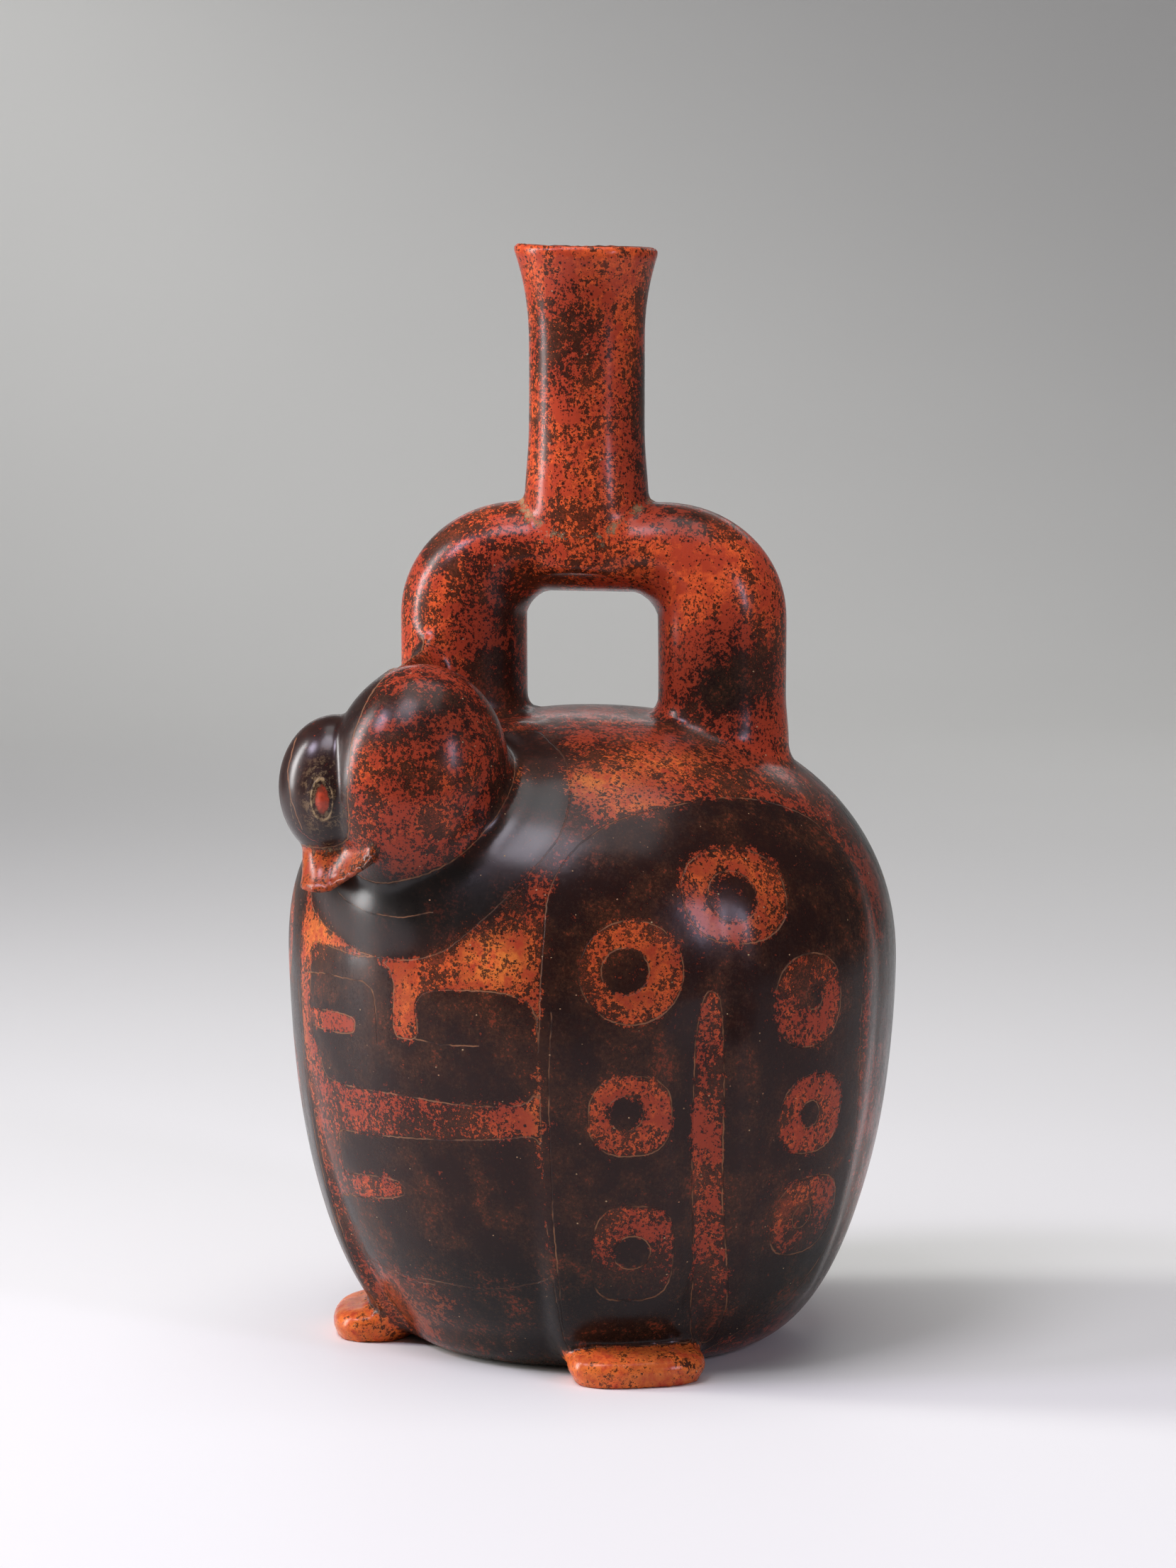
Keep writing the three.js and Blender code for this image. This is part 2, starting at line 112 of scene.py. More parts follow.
class LegSizes(bpy.types.PropertyGroup):
    shin_side: turn("Shin side", "Side angle of the shin's front edge", 31)
    shin_rise: length("Shin rise", "How far the shin stands out", 0.8)
    shin_top: length("Shin top", "Height where the shin runs out", 78)
    belly_hollow: length("Belly hollow", "How far the belly lies back between the shins", 2.2)
    crease_side: turn("Crease side", "Side angle of the crease behind the shin", 59.5)
    crease_lean: turn("Crease lean", "How far the crease leans back at its foot", 4.5)
    crease_width: turn("Crease width", "Half width of the crease", 4.2)
    crease_depth: length("Crease depth", "Depth of the crease", 2.4)
    crease_top: length("Crease top", "Height where the crease ends", 88)
    crease_foot: length("Crease foot", "Height where the crease begins", 18)
    crease_fade: length("Crease fade", "Length over which the crease runs out", 12)
    calf_offset: turn("Calf offset", "Side angle from the crease to the calf's ridge", 6.7)
    calf_rise: length("Calf rise", "Height of the calf's ridge", 0.9)
    thigh_rise: length("Thigh rise", "How far the thigh stands out", 1.1)
    thigh_back: turn("Thigh back", "Side angle of the thigh's rear edge", 104)
    thigh_top: length("Thigh top", "Height where the thigh runs out", 122)
    thigh_fade: length("Thigh fade", "Length over which the thigh runs out", 20)
    knee_rise: length("Knee rise", "How far the knee stands out", 1)
    knee_side: turn("Knee side", "Side angle of the knee", 50)
    knee_height: length("Knee height", "Height of the knee", 112)
    knee_width: turn("Knee width", "Half width of the knee", 20)
    knee_span: length("Knee span", "Half height of the knee", 16)
    edge_softness: turn("Edge softness", "Half width of the legs' soft edges", 4)
    foot_side: turn("Foot side", "Side angle of each foot", 51)
    foot_length: length("Foot length", "Length of a foot, across its leg", 31)
    foot_width: length("Foot width", "Width of a foot, outwards", 19)
    foot_height: length("Foot height", "Height of a foot", 9.2)
    foot_middle: length("Foot middle", "Distance of a foot's middle from the body's middle", 50.3)
    toe_drop: ratio("Toe drop", "How much lower the foot's outer edge is", 0.3)


class StirrupSizes(bpy.types.PropertyGroup):
    stirrup_side: turn("Stirrup side", "Side angle of the stirrup's plane", 120)
    branch_spread: length("Branch spread", "Distance of each branch from the middle", 29.8)
    branch_radius: length("Branch radius", "Radius of a branch", 14.6)
    bridge_half_height: length("Bridge half height", "Half the height of the bridge", 10.1)
    bridge_half_depth: length("Bridge half depth", "Half the depth of the bridge", 13.4)
    bridge_rise: length("Bridge rise", "Height of the bridge's middle above the body", 36.3)
    bend_radius: length("Bend radius", "Radius of the tube's bend", 16)
    corner_round: length("Corner round", "Roundness of the upper corners inside the stirrup", 6.5)
    flare: length("Flare", "Extra radius of a branch at its foot", 0.8)
    flare_height: length("Flare height", "Height over which a branch flares", 8)
    stirrup_wall: length("Stirrup wall", "Thickness of the tube's wall", 4)
    spout_length: length("Spout length", "Height of the rim above the bridge's middle", 68.7)
    spout_radius: length("Spout radius", "Radius of the spout", 13.3)
    spout_foot_radius: length("Spout foot radius", "Radius of the spout at its foot", 14.3)
    mouth_radius: length("Mouth radius", "Radius of the rim", 17.1)
    mouth_flare: length("Mouth flare", "Height over which the mouth flares", 22)
    mouth_curve: amount("Mouth curve", "How late the mouth flares", 2.2)
    spout_wall: length("Spout wall", "Thickness of the spout's wall", 4)
    spout_shift: length("Spout shift", "How far the spout stands off the body's middle", 1.3)
    spout_shift_side: turn("Spout shift side", "Side angle towards which the spout stands off", -50)
    rim_round: length("Rim round", "Roundness of the rim's edges", 1.4)
    rim_wave: length("Rim wave", "How uneven the rim's height is", 0.9)


class HeadSizes(bpy.types.PropertyGroup):
    head_side: turn("Head side", "Side angle of the head's middle", -1.7)
    head_seat: ratio("Head seat", "Place of the head between belly and crown", 0.397)
    head_lift: length("Head lift", "Height of the head's middle above its seat", 10.8)
    head_radius: length("Head radius", "Radius of the head", 20)
    head_half_height: length("Head half height", "Half the height of the head", 25.2)
    head_lean: turn("Head lean", "How far the head leans back from the face", 7)
    head_wall: length("Head wall", "Thickness of the head's wall", 5.5)
    face_side: turn("Face side", "Side angle towards which the face looks", -58)
    face_reach: length("Face reach", "Distance of the face's middle from the head's", 18.2)
    face_drop: length("Face drop", "How much lower the face's middle is", 2.3)
    face_depth: length("Face depth", "Half the depth of the face", 12.8)
    face_half_width: length("Face half width", "Half the width of the face", 12.5)
    face_half_height: length("Face half height", "Half the height of the face", 16)
    eye_side: turn("Eye side", "Angle of each eye from the face's direction", 86)
    eye_drop: length("Eye drop", "How much lower an eye is than the face's middle", 1.5)
    eye_half_width: length("Eye half width", "Half the width of an eye's ring", 2.6)
    eye_half_height: length("Eye half height", "Half the height of an eye's ring", 4.9)
    lip_top: length("Lip top", "How far the lip starts below the face's middle", 12.5)
    lip_drop: length("Lip drop", "Height of the lip", 9.2)
    lip_flare: length("Lip flare", "How far the lip's sides flare out", 4.5)
    lip_thick: length("Lip thickness", "Thickness of the lip", 3.8)
    lip_inset: length("Lip inset", "How far the lip stands in from the face's skin", 2.2)
    lip_arm: length("Lip arm", "Length of the lip's two arms", 11.5)
    lip_rise: length("Lip rise", "How far the arms rise", 7.5)
    lip_spread: length("Lip spread", "How far the arms spread out over the head's sides", 7)
    neck_side: turn("Neck side", "Side angle of the neck's end on the branch", 2)
    neck_shift: length("Neck shift", "How far in front of the head's middle the neck starts", 6)
    neck_thick: length("Neck thickness", "Thickness of the neck at the head", 14)
    neck_end_thick: length("Neck end thickness", "Thickness of the neck at the branch", 6)
    neck_sink: length("Neck sink", "How far the neck's crest starts below the crown", 1.8)
    neck_end_rise: length("Neck end rise", "Height of the neck's end above the body", 15.5)


class SlipColours(bpy.types.PropertyGroup):
    red_slip: tint("Red slip", "Deep red slip", 0.42, 0.050, 0.020)
    orange_slip: tint("Orange slip", "Bright orange red slip", 0.82, 0.125, 0.030)
    ochre_wear: tint("Ochre wear", "Rubbed ochre clay", 0.66, 0.200, 0.034)
    dark_slip: tint("Dark slip", "Brown black slip", 0.007, 0.0055, 0.005)
    umber_slip: tint("Umber slip", "Thin brown slip", 0.030, 0.017, 0.009)
    clay: tint("Clay", "Pale clay in the incised lines", 0.30, 0.13, 0.06)
    crust: tint("Crust", "Pale crust in the creases", 0.42, 0.28, 0.14)
    bare_clay: tint("Bare clay", "Bare clay inside", 0.10, 0.028, 0.014)
    bare_shade: tint("Bare shade", "Darker bare clay inside", 0.035, 0.014, 0.010)
    eye_shade: tint("Eye shade", "Darker red in the eyes", 0.16, 0.03, 0.015)
    line_width: length("Line width", "Half width of an incised line", 0.16)
    line_depth: length("Line depth", "Depth of an incised line", 0.16)


class MeshDetail(bpy.types.PropertyGroup):
    cell: length("Cell", "Edge of the mesh's faces", 1.3)
    grains: amount("Grains", "Grains of temper to a square centimetre", 1.6)
    grain_radius: length("Grain radius", "Radius of the largest grain", 0.32)
    seed: IntProperty(name="Seed", description="Seed of the grains", default=4)


class StageSettings(bpy.types.PropertyGroup):
    eye_distance: length("Camera distance", "Distance of the camera from the vessel's middle", 1110)
    eye_side: turn("Camera side", "Side angle of the camera", 40)
    eye_offset: length("Camera offset", "How far the camera stands to its left", 1)
    eye_height: length("Camera height", "Height of the camera", 252.6)
    eye_dip: turn("Camera dip", "How far the camera looks down", 6.45)
    lens: amount("Lens", "Focal length for a 36 millimetre frame", 112.3)
    floor_tint: tint("Floor", "Colour of the floor and the backdrop", 0.80, 0.80, 0.77)
    key_power: amount("Key light", "Power of the large light on the left, in watts", 6.2)
    spot_power: amount("Spot lights", "Power of the small lights, in watts", 3.4)
    top_power: amount("Front light", "Power of the light in front and above, in watts", 4)
    floor_power: amount("Floor light", "Power of the broad light overhead, in watts", 6.4)
    back_power: amount("Back light", "Power of the light over the backdrop, in watts", 2.8)
    sky: amount("Sky", "Strength of the even light all round", 0.1)


GROUPS = (BodySizes, LegSizes, StirrupSizes, HeadSizes, SlipColours, MeshDetail, StageSettings)
SETTINGS = {group: "stirrup_vessel_" + group.__name__.lower() for group in GROUPS}


def settings(context, group):
    return getattr(context.scene, SETTINGS[group])


def sizes(context, *groups):
    """The groups' lengths in millimetres and angles in degrees, under their own names."""
    found = {}
    for group in groups:
        held = settings(context, group)
        for name, prop in held.bl_rna.properties.items():
            if prop.type not in {"FLOAT", "INT"}:
                continue
            value = getattr(held, name)
            if prop.unit == "LENGTH":
                value = value / MILLI
            elif prop.unit == "ROTATION":
                value = math.degrees(value)
            found[name] = value
    return SimpleNamespace(**found)


# Shapes as fields: below 0 inside the clay, and the distance in millimetres close to its surface

UP = np.array([0.0, 0.0, 1.0])


def smoothstep(start, end, value):
    share = np.clip((value - start) / (end - start), 0, 1)
    return share * share * (3 - 2 * share)


def bump(middle, width, value):
    return np.exp(-(((value - middle) / width) ** 2))


def band(start, end, softness, value):
    """1 between two bounds, with soft edges, and 0 outside them."""
    rise = smoothstep(start - softness, start + softness, value)
    return rise * (1 - smoothstep(end - softness, end + softness, value))


def join(one, other, fillet):
    """Both shapes together, with a fillet of clay in the crease between them."""
    share = np.clip(0.5 + 0.5 * (other - one) / fillet, 0, 1)
    return other + (one - other) * share - fillet * share * (1 - share)


def common(one, other, edge):
    """What the shapes share, with a rounded edge."""
    return -join(-one, -other, edge)


def outward(side):
    return np.array([math.sin(math.radians(side)), -math.cos(math.radians(side)), 0.0])


def body_outline(size, turns):
    """Radius and height of the body's outline, for turns from -1 at the base to 1 at the crown."""
    angle = np.abs(turns) * math.pi / 2
    low = turns < 0
    swell = (size.belly_radius - size.base_radius) * np.cos(angle)
    drop = size.belly_height * np.sin(angle) ** (2 / size.base_fullness)
    rise = (size.body_height - size.belly_height) * np.sin(angle) ** (2 / size.shoulder_fullness)
    narrowing = size.belly_radius * np.maximum(np.cos(angle), 0) ** (2 / size.shoulder_fullness)
    radius = np.where(low, size.base_radius + swell, narrowing)
    return radius, np.where(low, size.belly_height - drop, size.belly_height + rise)


class Outline:
    """The body's outline, with the distance to it in a table and the length along it at each height."""

    STEP = 0.5
    LOWEST = -30

    def __init__(self, size):
        radius, height = body_outline(size, np.linspace(-1, 1, 181))
        self.points = np.column_stack([radius, height])
        edges = np.hypot(*np.diff(self.points, axis=0).T)
        self.along = np.concatenate([[0], np.cumsum(edges)])
        across = np.arange(0, 115, self.STEP)
        up = np.arange(self.LOWEST, 190, self.STEP)
        r, z = np.meshgrid(across, up, indexing="ij")
        corners = np.vstack([[0, 0], self.points])
        nearest = np.full(r.shape, 1e9)
        for start, end in zip(corners[:-1], corners[1:]):
            edge = end - start
            share = ((r - start[0]) * edge[0] + (z - start[1]) * edge[1]) / max(edge @ edge, 1e-12)
            share = np.clip(share, 0, 1)
            gap = (r - start[0] - edge[0] * share) ** 2 + (z - start[1] - edge[1] * share) ** 2
            nearest = np.minimum(nearest, gap)
        inside = (z > 0) & (z < height[-1]) & (r < np.interp(z, height, radius))
        self.table = np.where(inside, -1, 1) * np.sqrt(nearest)

    def distance(self, r, z):
        i = np.clip(r / self.STEP, 0, self.table.shape[0] - 1.001)
        j = np.clip((z - self.LOWEST) / self.STEP, 0, self.table.shape[1] - 1.001)
        i0, j0 = i.astype(int), j.astype(int)
        fi, fj = i - i0, j - j0
        low = self.table[i0, j0] * (1 - fi) + self.table[i0 + 1, j0] * fi
        high = self.table[i0, j0 + 1] * (1 - fi) + self.table[i0 + 1, j0 + 1] * fi
        return low * (1 - fj) + high * fj

    def run(self, height):
        """Length along the outline from the base up to a height."""
        return np.interp(height, self.points[:, 1], self.along)


def egg(points, centre, axes, halves):
    """An egg shape with its three half sizes along three square axes."""
    away = points - centre
    parts = [(away @ axis) / half for axis, half in zip(axes, halves)]
    level = np.sqrt(sum(part ** 2 for part in parts))
    slope = np.sqrt(sum((part / half) ** 2 for part, half in zip(parts, halves)))
    return level * (level - 1) / np.maximum(slope, 1e-6)


def leg_relief(size, side, height):
    """How far the legs stand out of the flank, or lie in it."""
    around = np.abs(side)
    soft = size.edge_softness
    crease = size.crease_side + size.crease_lean * smoothstep(size.body_height / 2, size.crease_foot, height)
    above_foot = smoothstep(size.foot_height, size.crease_foot, height)
    along = above_foot * (1 - smoothstep(size.crease_top - size.crease_fade, size.crease_top, height))
    fold = bump(crease, size.crease_width, around) * along
    calf = bump(crease + size.calf_offset, size.crease_width, around) * along
    low = 1 - smoothstep(size.foot_height, size.shin_top, height)
    shin = band(size.shin_side, crease, soft, around) * low
    belly = (1 - smoothstep(size.shin_side - soft, size.shin_side + soft / 2, around)) * low
    thigh_along = above_foot * (1 - smoothstep(size.thigh_top - size.thigh_fade, size.thigh_top, height))
    thigh = band(crease + 2 * soft, size.thigh_back, soft, around) * thigh_along
    knee = bump(size.knee_side, size.knee_width, around) * bump(size.knee_height, size.knee_span, height)
    raised = size.shin_rise * shin + size.calf_rise * calf + size.thigh_rise * thigh + size.knee_rise * knee
    sunk = size.belly_hollow * belly + size.crease_depth * fold
    return (raised - sunk) * smoothstep(0, size.foot_height, height)


def on_body(size, seat, side):
    radius, height = body_outline(size, np.array(seat))
    return outward(side) * float(radius) + UP * float(height)


def foot(size, points, hand):
    """A slab with a rounded outline, flat below and lower at the toes."""
    out = (points @ outward(hand * size.foot_side) - size.foot_middle) / (size.foot_width / 2)
    along = (points @ outward(hand * size.foot_side + 90)) / (size.foot_length / 2)
    level = (np.abs(out) ** 2.67 + np.abs(along) ** 2.67) ** (1 / 2.67)
    top = size.foot_height * (1 - size.toe_drop * (1 + np.clip(out, -1, 1)) / 2)
    share = np.clip(points[..., 2] / top, 0, 1)
    bulge = np.where(share < 0.17, 0.9 + 0.03 * share / 0.17, 0.72 + 0.56 * np.sqrt(share * (1 - share)))
    toes = 0.35 * bump(0, 0.08, np.abs(np.abs(along) - 0.3)) * smoothstep(0.1, 0.8, out)
    beside = (level - bulge) * size.foot_width / 2
    return common(beside, points[..., 2] - top + toes, 2)


BRANCH_ROOT = 28  # millimetres that a branch reaches down into the body's crown


def tube(size, points, inset):
    """The stirrup's tube: two upright branches, two bends and a level bridge."""
    out = np.abs(points @ outward(size.stirrup_side))
    across = points @ outward(size.stirrup_side + 90)
    up = points[..., 2]
    bridge = size.body_height + size.bridge_rise
    corner = size.branch_spread - size.bend_radius
    bend_foot = bridge - size.bend_radius

    def gap(in_plane, half_height, half_depth):
        high, deep = half_height - inset, half_depth - inset
        level = np.hypot(in_plane / high, across / deep)
        slope = np.hypot(in_plane / high ** 2, across / deep ** 2)
        return level * (level - 1) / np.maximum(slope, 1e-6)

    flare = size.flare * (1 - smoothstep(
        size.body_height - size.flare_height, size.body_height + size.flare_height / 2, up))
    branch = gap(out - size.branch_spread, size.branch_radius + flare, size.branch_radius + flare)
    level = gap(up - bridge, size.bridge_half_height, size.bridge_half_depth)
    swell = smoothstep(-0.13, 0.935, 1 - np.arctan2(up - bend_foot, out - corner) / (math.pi / 2))
    bend = gap(
        np.hypot(out - corner, up - bend_foot) - size.bend_radius,
        size.bridge_half_height + (size.branch_radius - size.bridge_half_height) * swell,
        size.bridge_half_depth + (size.branch_radius - size.bridge_half_depth) * swell)
    far = 1e3
    branch = np.where(up <= bend_foot, branch, far)
    level = np.where(out <= corner, level, far)
    bend = np.where((up >= bend_foot) & (out >= corner), bend, far)
    whole = np.minimum(np.minimum(branch, level), bend)
    if inset == 0:
        # Clay that rounds the two upper corners inside the stirrup and fades out away from them
        upright = gap(out - size.branch_spread, size.branch_radius, size.branch_radius)
        lying = gap(up - bridge, size.bridge_half_height, size.bridge_half_depth)
        from_corner = np.hypot(
            out - size.branch_spread + size.branch_radius, up - bridge + size.bridge_half_height)
        arc = size.corner_round * (1 - smoothstep(3, 11, from_corner)) + 1e-3
        corner_fill = np.maximum(arc, np.minimum(upright, lying)) + 0.8 * np.maximum(from_corner - 9, 0)
        corner_fill = corner_fill - np.hypot(np.maximum(arc - upright, 0), np.maximum(arc - lying, 0))
        within = (out < size.branch_spread) & (up < bridge)
        whole = np.minimum(whole, np.where(within, corner_fill, far))
    return np.maximum(whole, size.body_height - BRANCH_ROOT - up)


def spout_radius(size, share):
    near_foot = 1 - smoothstep(0.1, 0.4, share)
    near_mouth = np.maximum(0, 1 - size.spout_length * (1 - share) / size.mouth_flare) ** size.mouth_curve
    grown = (size.spout_foot_radius - size.spout_radius) * near_foot
    return size.spout_radius + grown + (size.mouth_radius - size.spout_radius) * near_mouth


def rim_height(size, turned):
    """The rim's height at each angle round it: a slow wave with its crest on the left."""
    wave = np.cos(turned + 0.9) - 1 + 0.2 * (np.cos(3 * turned + 2.7) - 1)
    return size.body_height + size.bridge_rise + size.spout_length + size.rim_wave * wave / 2


def spout_skin(size, points, inset):
    """Distance from the spout's wall, set in from its outside, and the height above the rim."""
    away = points - outward(size.spout_shift_side) * size.spout_shift
    share = (points[..., 2] - size.body_height - size.bridge_rise) / size.spout_length
    wall = np.hypot(away[..., 0], away[..., 1]) - spout_radius(size, np.clip(share, 0, 1)) + inset
    return wall, points[..., 2] - rim_height(size, np.arctan2(away[..., 0], -away[..., 1]))


def spout(size, points):
    wall, above = spout_skin(size, points, 0)
    toe = size.body_height + size.bridge_rise - size.bridge_half_height / 2 - points[..., 2]
    return np.maximum(common(wall, above, size.rim_round * 1.6), toe)


def spout_bore(size, points):
    """The spout's inside, wider at the very mouth, where the rim is rounded."""
    wall, above = spout_skin(size, points, size.spout_wall)
    wall = wall - size.rim_round * smoothstep(-2.2, 0, above) ** 2
    return np.maximum(wall, size.body_height + size.bridge_rise - points[..., 2])


class Head:
    """The head's middle, the face's middle and their axes."""

    def __init__(self, size):
        lean = math.radians(size.head_lean)
        self.ahead = outward(size.face_side)
        self.beside = outward(size.face_side + 90)
        self.crown = UP * math.cos(lean) - self.ahead * math.sin(lean)
        self.brow = np.cross(self.beside, self.crown)
        self.centre = on_body(size, size.head_seat, size.head_side) + UP * size.head_lift
        self.face = self.centre + self.ahead * size.face_reach - UP * size.face_drop

    def skull(self, size, points, inset):
        halves = (size.head_radius - inset, size.head_radius - inset, size.head_half_height - inset)
        return egg(points, self.centre, (self.brow, self.beside, self.crown), halves)

    def eye_place(self, size, hand):
        """An eye's middle on the face's skin, and the way it looks."""
        round_ = math.radians(size.eye_side)
        centre = self.face - UP * size.eye_drop + self.ahead * size.face_depth * math.cos(round_)
        centre = centre + self.beside * hand * size.face_half_width * math.sin(round_)
        out = self.ahead * math.cos(round_) / size.face_depth
        out = out + self.beside * hand * math.sin(round_) / size.face_half_width
        return centre, out / np.linalg.norm(out)

    def lip(self, size, points):
        """A flap under the face that flares outwards, with an arm on each side that rises and spreads."""
        away = points - self.face
        front = away @ self.ahead
        across = away @ self.beside
        up = away @ UP
        foot_share = math.sqrt(1 - (size.lip_top / size.face_half_height) ** 2)
        depth = size.face_depth * foot_share - size.lip_inset
        half = size.face_half_width * foot_share - size.lip_inset
        ahead = np.maximum(front, 0)
        level = np.hypot(ahead / depth, across / half)
        slope = np.maximum(np.hypot(ahead / depth ** 2, across / half ** 2), 1e-6)
        line = level * (level - 1) / slope
        back = np.clip(-front / size.lip_arm, 0, 1)
        line = line - size.lip_spread * back ** 1.5
        down = (size.lip_rise * back - size.lip_top - up) / size.lip_drop
        sideways = (across ** 2 + 1e-6) / (across ** 2 + ahead ** 2 + 1e-6)
        flare = size.lip_flare * sideways * np.clip(down, 0, 1.1) ** 2
        tilt = np.sqrt(1 + (2 * size.lip_flare * sideways * np.clip(down, 0, 1) / size.lip_drop) ** 2)
        wall = np.abs(line - flare) / tilt - size.lip_thick / 2
        wall = common(wall, np.maximum(-down, down - 1.05) * size.lip_drop, 1.4)
        return common(wall, -front - size.lip_arm, 1.4)

    def neck(self, size, points):
        """A wedge of clay with a sharp crest, from the crown of the head to the branch behind it."""
        branch = outward(size.stirrup_side + 180) * size.branch_spread
        branch = branch + outward(size.neck_side) * (size.branch_radius - size.neck_end_thick / 2)
        start = (self.centre + self.ahead * size.neck_shift) * (1, 1, 0)
        run = np.linalg.norm(branch - start)
        way = (branch - start) / run
        share = ((points - start) @ way) / run
        across = np.abs((points - start) @ np.cross(way, UP))
        half = (size.neck_thick + (size.neck_end_thick - size.neck_thick) * np.clip(share, 0, 1)) / 2
        crest = self.centre[2] + size.head_half_height - size.neck_sink
        top = crest + (size.body_height + size.neck_end_rise - crest) * np.clip(share, 0, 1)
        slope = (across - 0.8 * np.maximum(top - points[..., 2], 0)) * 0.78
        roof = common(common(slope, points[..., 2] - top, 0.8), across - half, 2)
        ends = np.maximum(-share, share - 1.2) * run
        sole = (size.body_height + size.belly_height) / 2 - points[..., 2]
        return np.maximum(np.maximum(roof, ends), sole)


def hills(points):
    """Slow hills and hollows between -1 and 1, as hand building leaves."""
    draw = np.random.default_rng(11)
    total = 0
    for _ in range(9):
        way = draw.normal(size=3)
        way = way / np.linalg.norm(way) / draw.uniform(4.5, 13)
        total = total + np.sin(points @ way + draw.uniform(0, 6.3))
    return total / 4.5


class Clay:
    """The vessel's clay as one field, from the sizes."""

    # Millimetres of clay smoothed into the crease round each part
    FILLETS = {"feet": 3, "stirrup": 3.5, "spout": 2.5, "face": 1.6, "neck": 2, "head": 6, "lip": 1.2}
    RIM_EDGE = 0.8

    def __init__(self, size):
        self.size = size
        self.outline = Outline(size)
        self.head = Head(size)
        self.collar = on_body(size, size.collar_seat, size.collar_side)

    def body(self, points):
        size = self.size
        radius = np.hypot(points[..., 0], points[..., 1])
        side = np.degrees(np.arctan2(points[..., 0], -points[..., 1]))
        away = np.linalg.norm(points - self.collar, axis=-1)
        roll = smoothstep(size.collar_crest / 2, size.collar_crest, away)
        roll = size.collar_rise * roll * (1 - smoothstep(size.collar_crest, size.collar_reach, away))
        roll = roll * (1 - 0.9 * smoothstep(2, 15, side))
        plain = self.outline.distance(radius, points[..., 2])
        return plain - leg_relief(size, side, points[..., 2]) - roll

    def face(self, points):
        """The face with its eyes: a low ring round a raised middle."""
        size, head = self.size, self.head
        halves = (size.face_depth, size.face_half_width, size.face_half_height)
        skin = egg(points, head.face, (head.ahead, head.beside, UP), halves)
        for hand in (1, -1):
            centre, out = head.eye_place(size, hand)
            across = (points - centre) @ np.cross(UP, out)
            up = (points - centre) @ UP
            level = np.hypot(across / size.eye_half_width, up / size.eye_half_height)
            near = np.abs((points - centre) @ out) < 4
            lid = 0.35 * bump(1, 0.3, level)
            ball = 0.9 * (1 - smoothstep(0, 0.72, level))
            skin = skin - np.where(near, lid + ball, 0)
        return skin

    def parts(self, points):
        """Each part of the outside on its own."""
        size, head = self.size, self.head
        return {
            "body": self.body(points),
            "feet": np.minimum(foot(size, points, 1), foot(size, points, -1)),
            "stirrup": tube(size, points, 0),
            "spout": spout(size, points),
            "skull": head.skull(size, points, 0),
            "face": self.face(points),
            "lip": head.lip(size, points),
            "neck": head.neck(size, points),
        }

    def outside(self, points):
        part = self.parts(points)

        def built(whole, *names):
            for name in names:
                whole = join(whole, part[name], self.FILLETS[name])
            return whole

        part["head"] = built(part["skull"], "face", "neck")
        whole = built(part["body"], "feet", "stirrup", "spout", "head", "lip")
        return whole - self.size.unevenness * (hills(points) - 0.8)

    def hollow(self, points):
        size = self.size
        radius = np.hypot(points[..., 0], points[..., 1])
        inside = self.outline.distance(radius, points[..., 2]) + size.body_wall
        inside = join(inside, tube(size, points, size.stirrup_wall), 3)
        inside = join(inside, spout_bore(size, points), 1.5)
        return np.minimum(inside, self.head.skull(size, points, size.head_wall))

    def fine_places(self, points):
        """Where the face, the lip and the rim need a finer mesh."""
        near_face = np.linalg.norm(points - self.head.face + UP * 3, axis=-1) < 21
        facing = (points - self.head.face) @ self.head.ahead > -15
        return near_face & facing & (self.hollow(points) > 2)

    def __call__(self, points):
        whole = common(self.outside(points), -self.hollow(points), self.RIM_EDGE)
        return np.maximum(whole, -points[..., 2])


def surface_net(values, low, cell):
    """Points and four-sided faces of the surface where a grid of values crosses 0."""
    inside = values < 0
    nx, ny, nz = values.shape
    corners = [(i, j, k) for i in (0, 1) for j in (0, 1) for k in (0, 1)]
    count = np.zeros((nx - 1, ny - 1, nz - 1), int)
    for i, j, k in corners:
        count += inside[i:nx - 1 + i, j:ny - 1 + j, k:nz - 1 + k]
    crossed = (count > 0) & (count < 8)
    number = -np.ones(crossed.shape, int)
    cells = np.argwhere(crossed)
    number[crossed] = np.arange(len(cells))
    total = np.zeros((len(cells), 3))
    hits = np.zeros(len(cells))
    ci, cj, ck = cells.T
    for start in corners:
        for axis in range(3):
            if start[axis]:
                continue
            end = list(start)
            end[axis] = 1
            a = values[ci + start[0], cj + start[1], ck + start[2]]
            b = values[ci + end[0], cj + end[1], ck + end[2]]
            crosses = (a < 0) != (b < 0)
            share = np.where(crosses, a / np.where(crosses, a - b, 1), 0)
            place = np.tile(np.array(start, float), (len(cells), 1))
            place[:, axis] = share
            total += np.where(crosses[:, None], place, 0)
            hits += crosses
    points = (cells + total / hits[:, None]) * cell + low
    faces = []
    for axis, (u, w) in enumerate(((1, 2), (2, 0), (0, 1))):
        near = [slice(1, -1)] * 3
        far = [slice(1, -1)] * 3
        near[axis], far[axis] = slice(0, -1), slice(1, None)
        a, b = inside[tuple(near)], inside[tuple(far)]
        edges = np.argwhere(a != b)
        base = edges + 1
        base[:, axis] = edges[:, axis]
        inwards = a[tuple(edges.T)]
        ring = []
        for du, dw in ((1, 1), (0, 1), (0, 0), (1, 0)):
            place = base.copy()
            place[:, u] -= du
            place[:, w] -= dw
            ring.append(number[place[:, 0], place[:, 1], place[:, 2]])
        quads = np.stack(ring, 1)
        quads[~inwards] = quads[~inwards][:, ::-1]
        faces.append(quads)
    return points, np.vstack(faces)


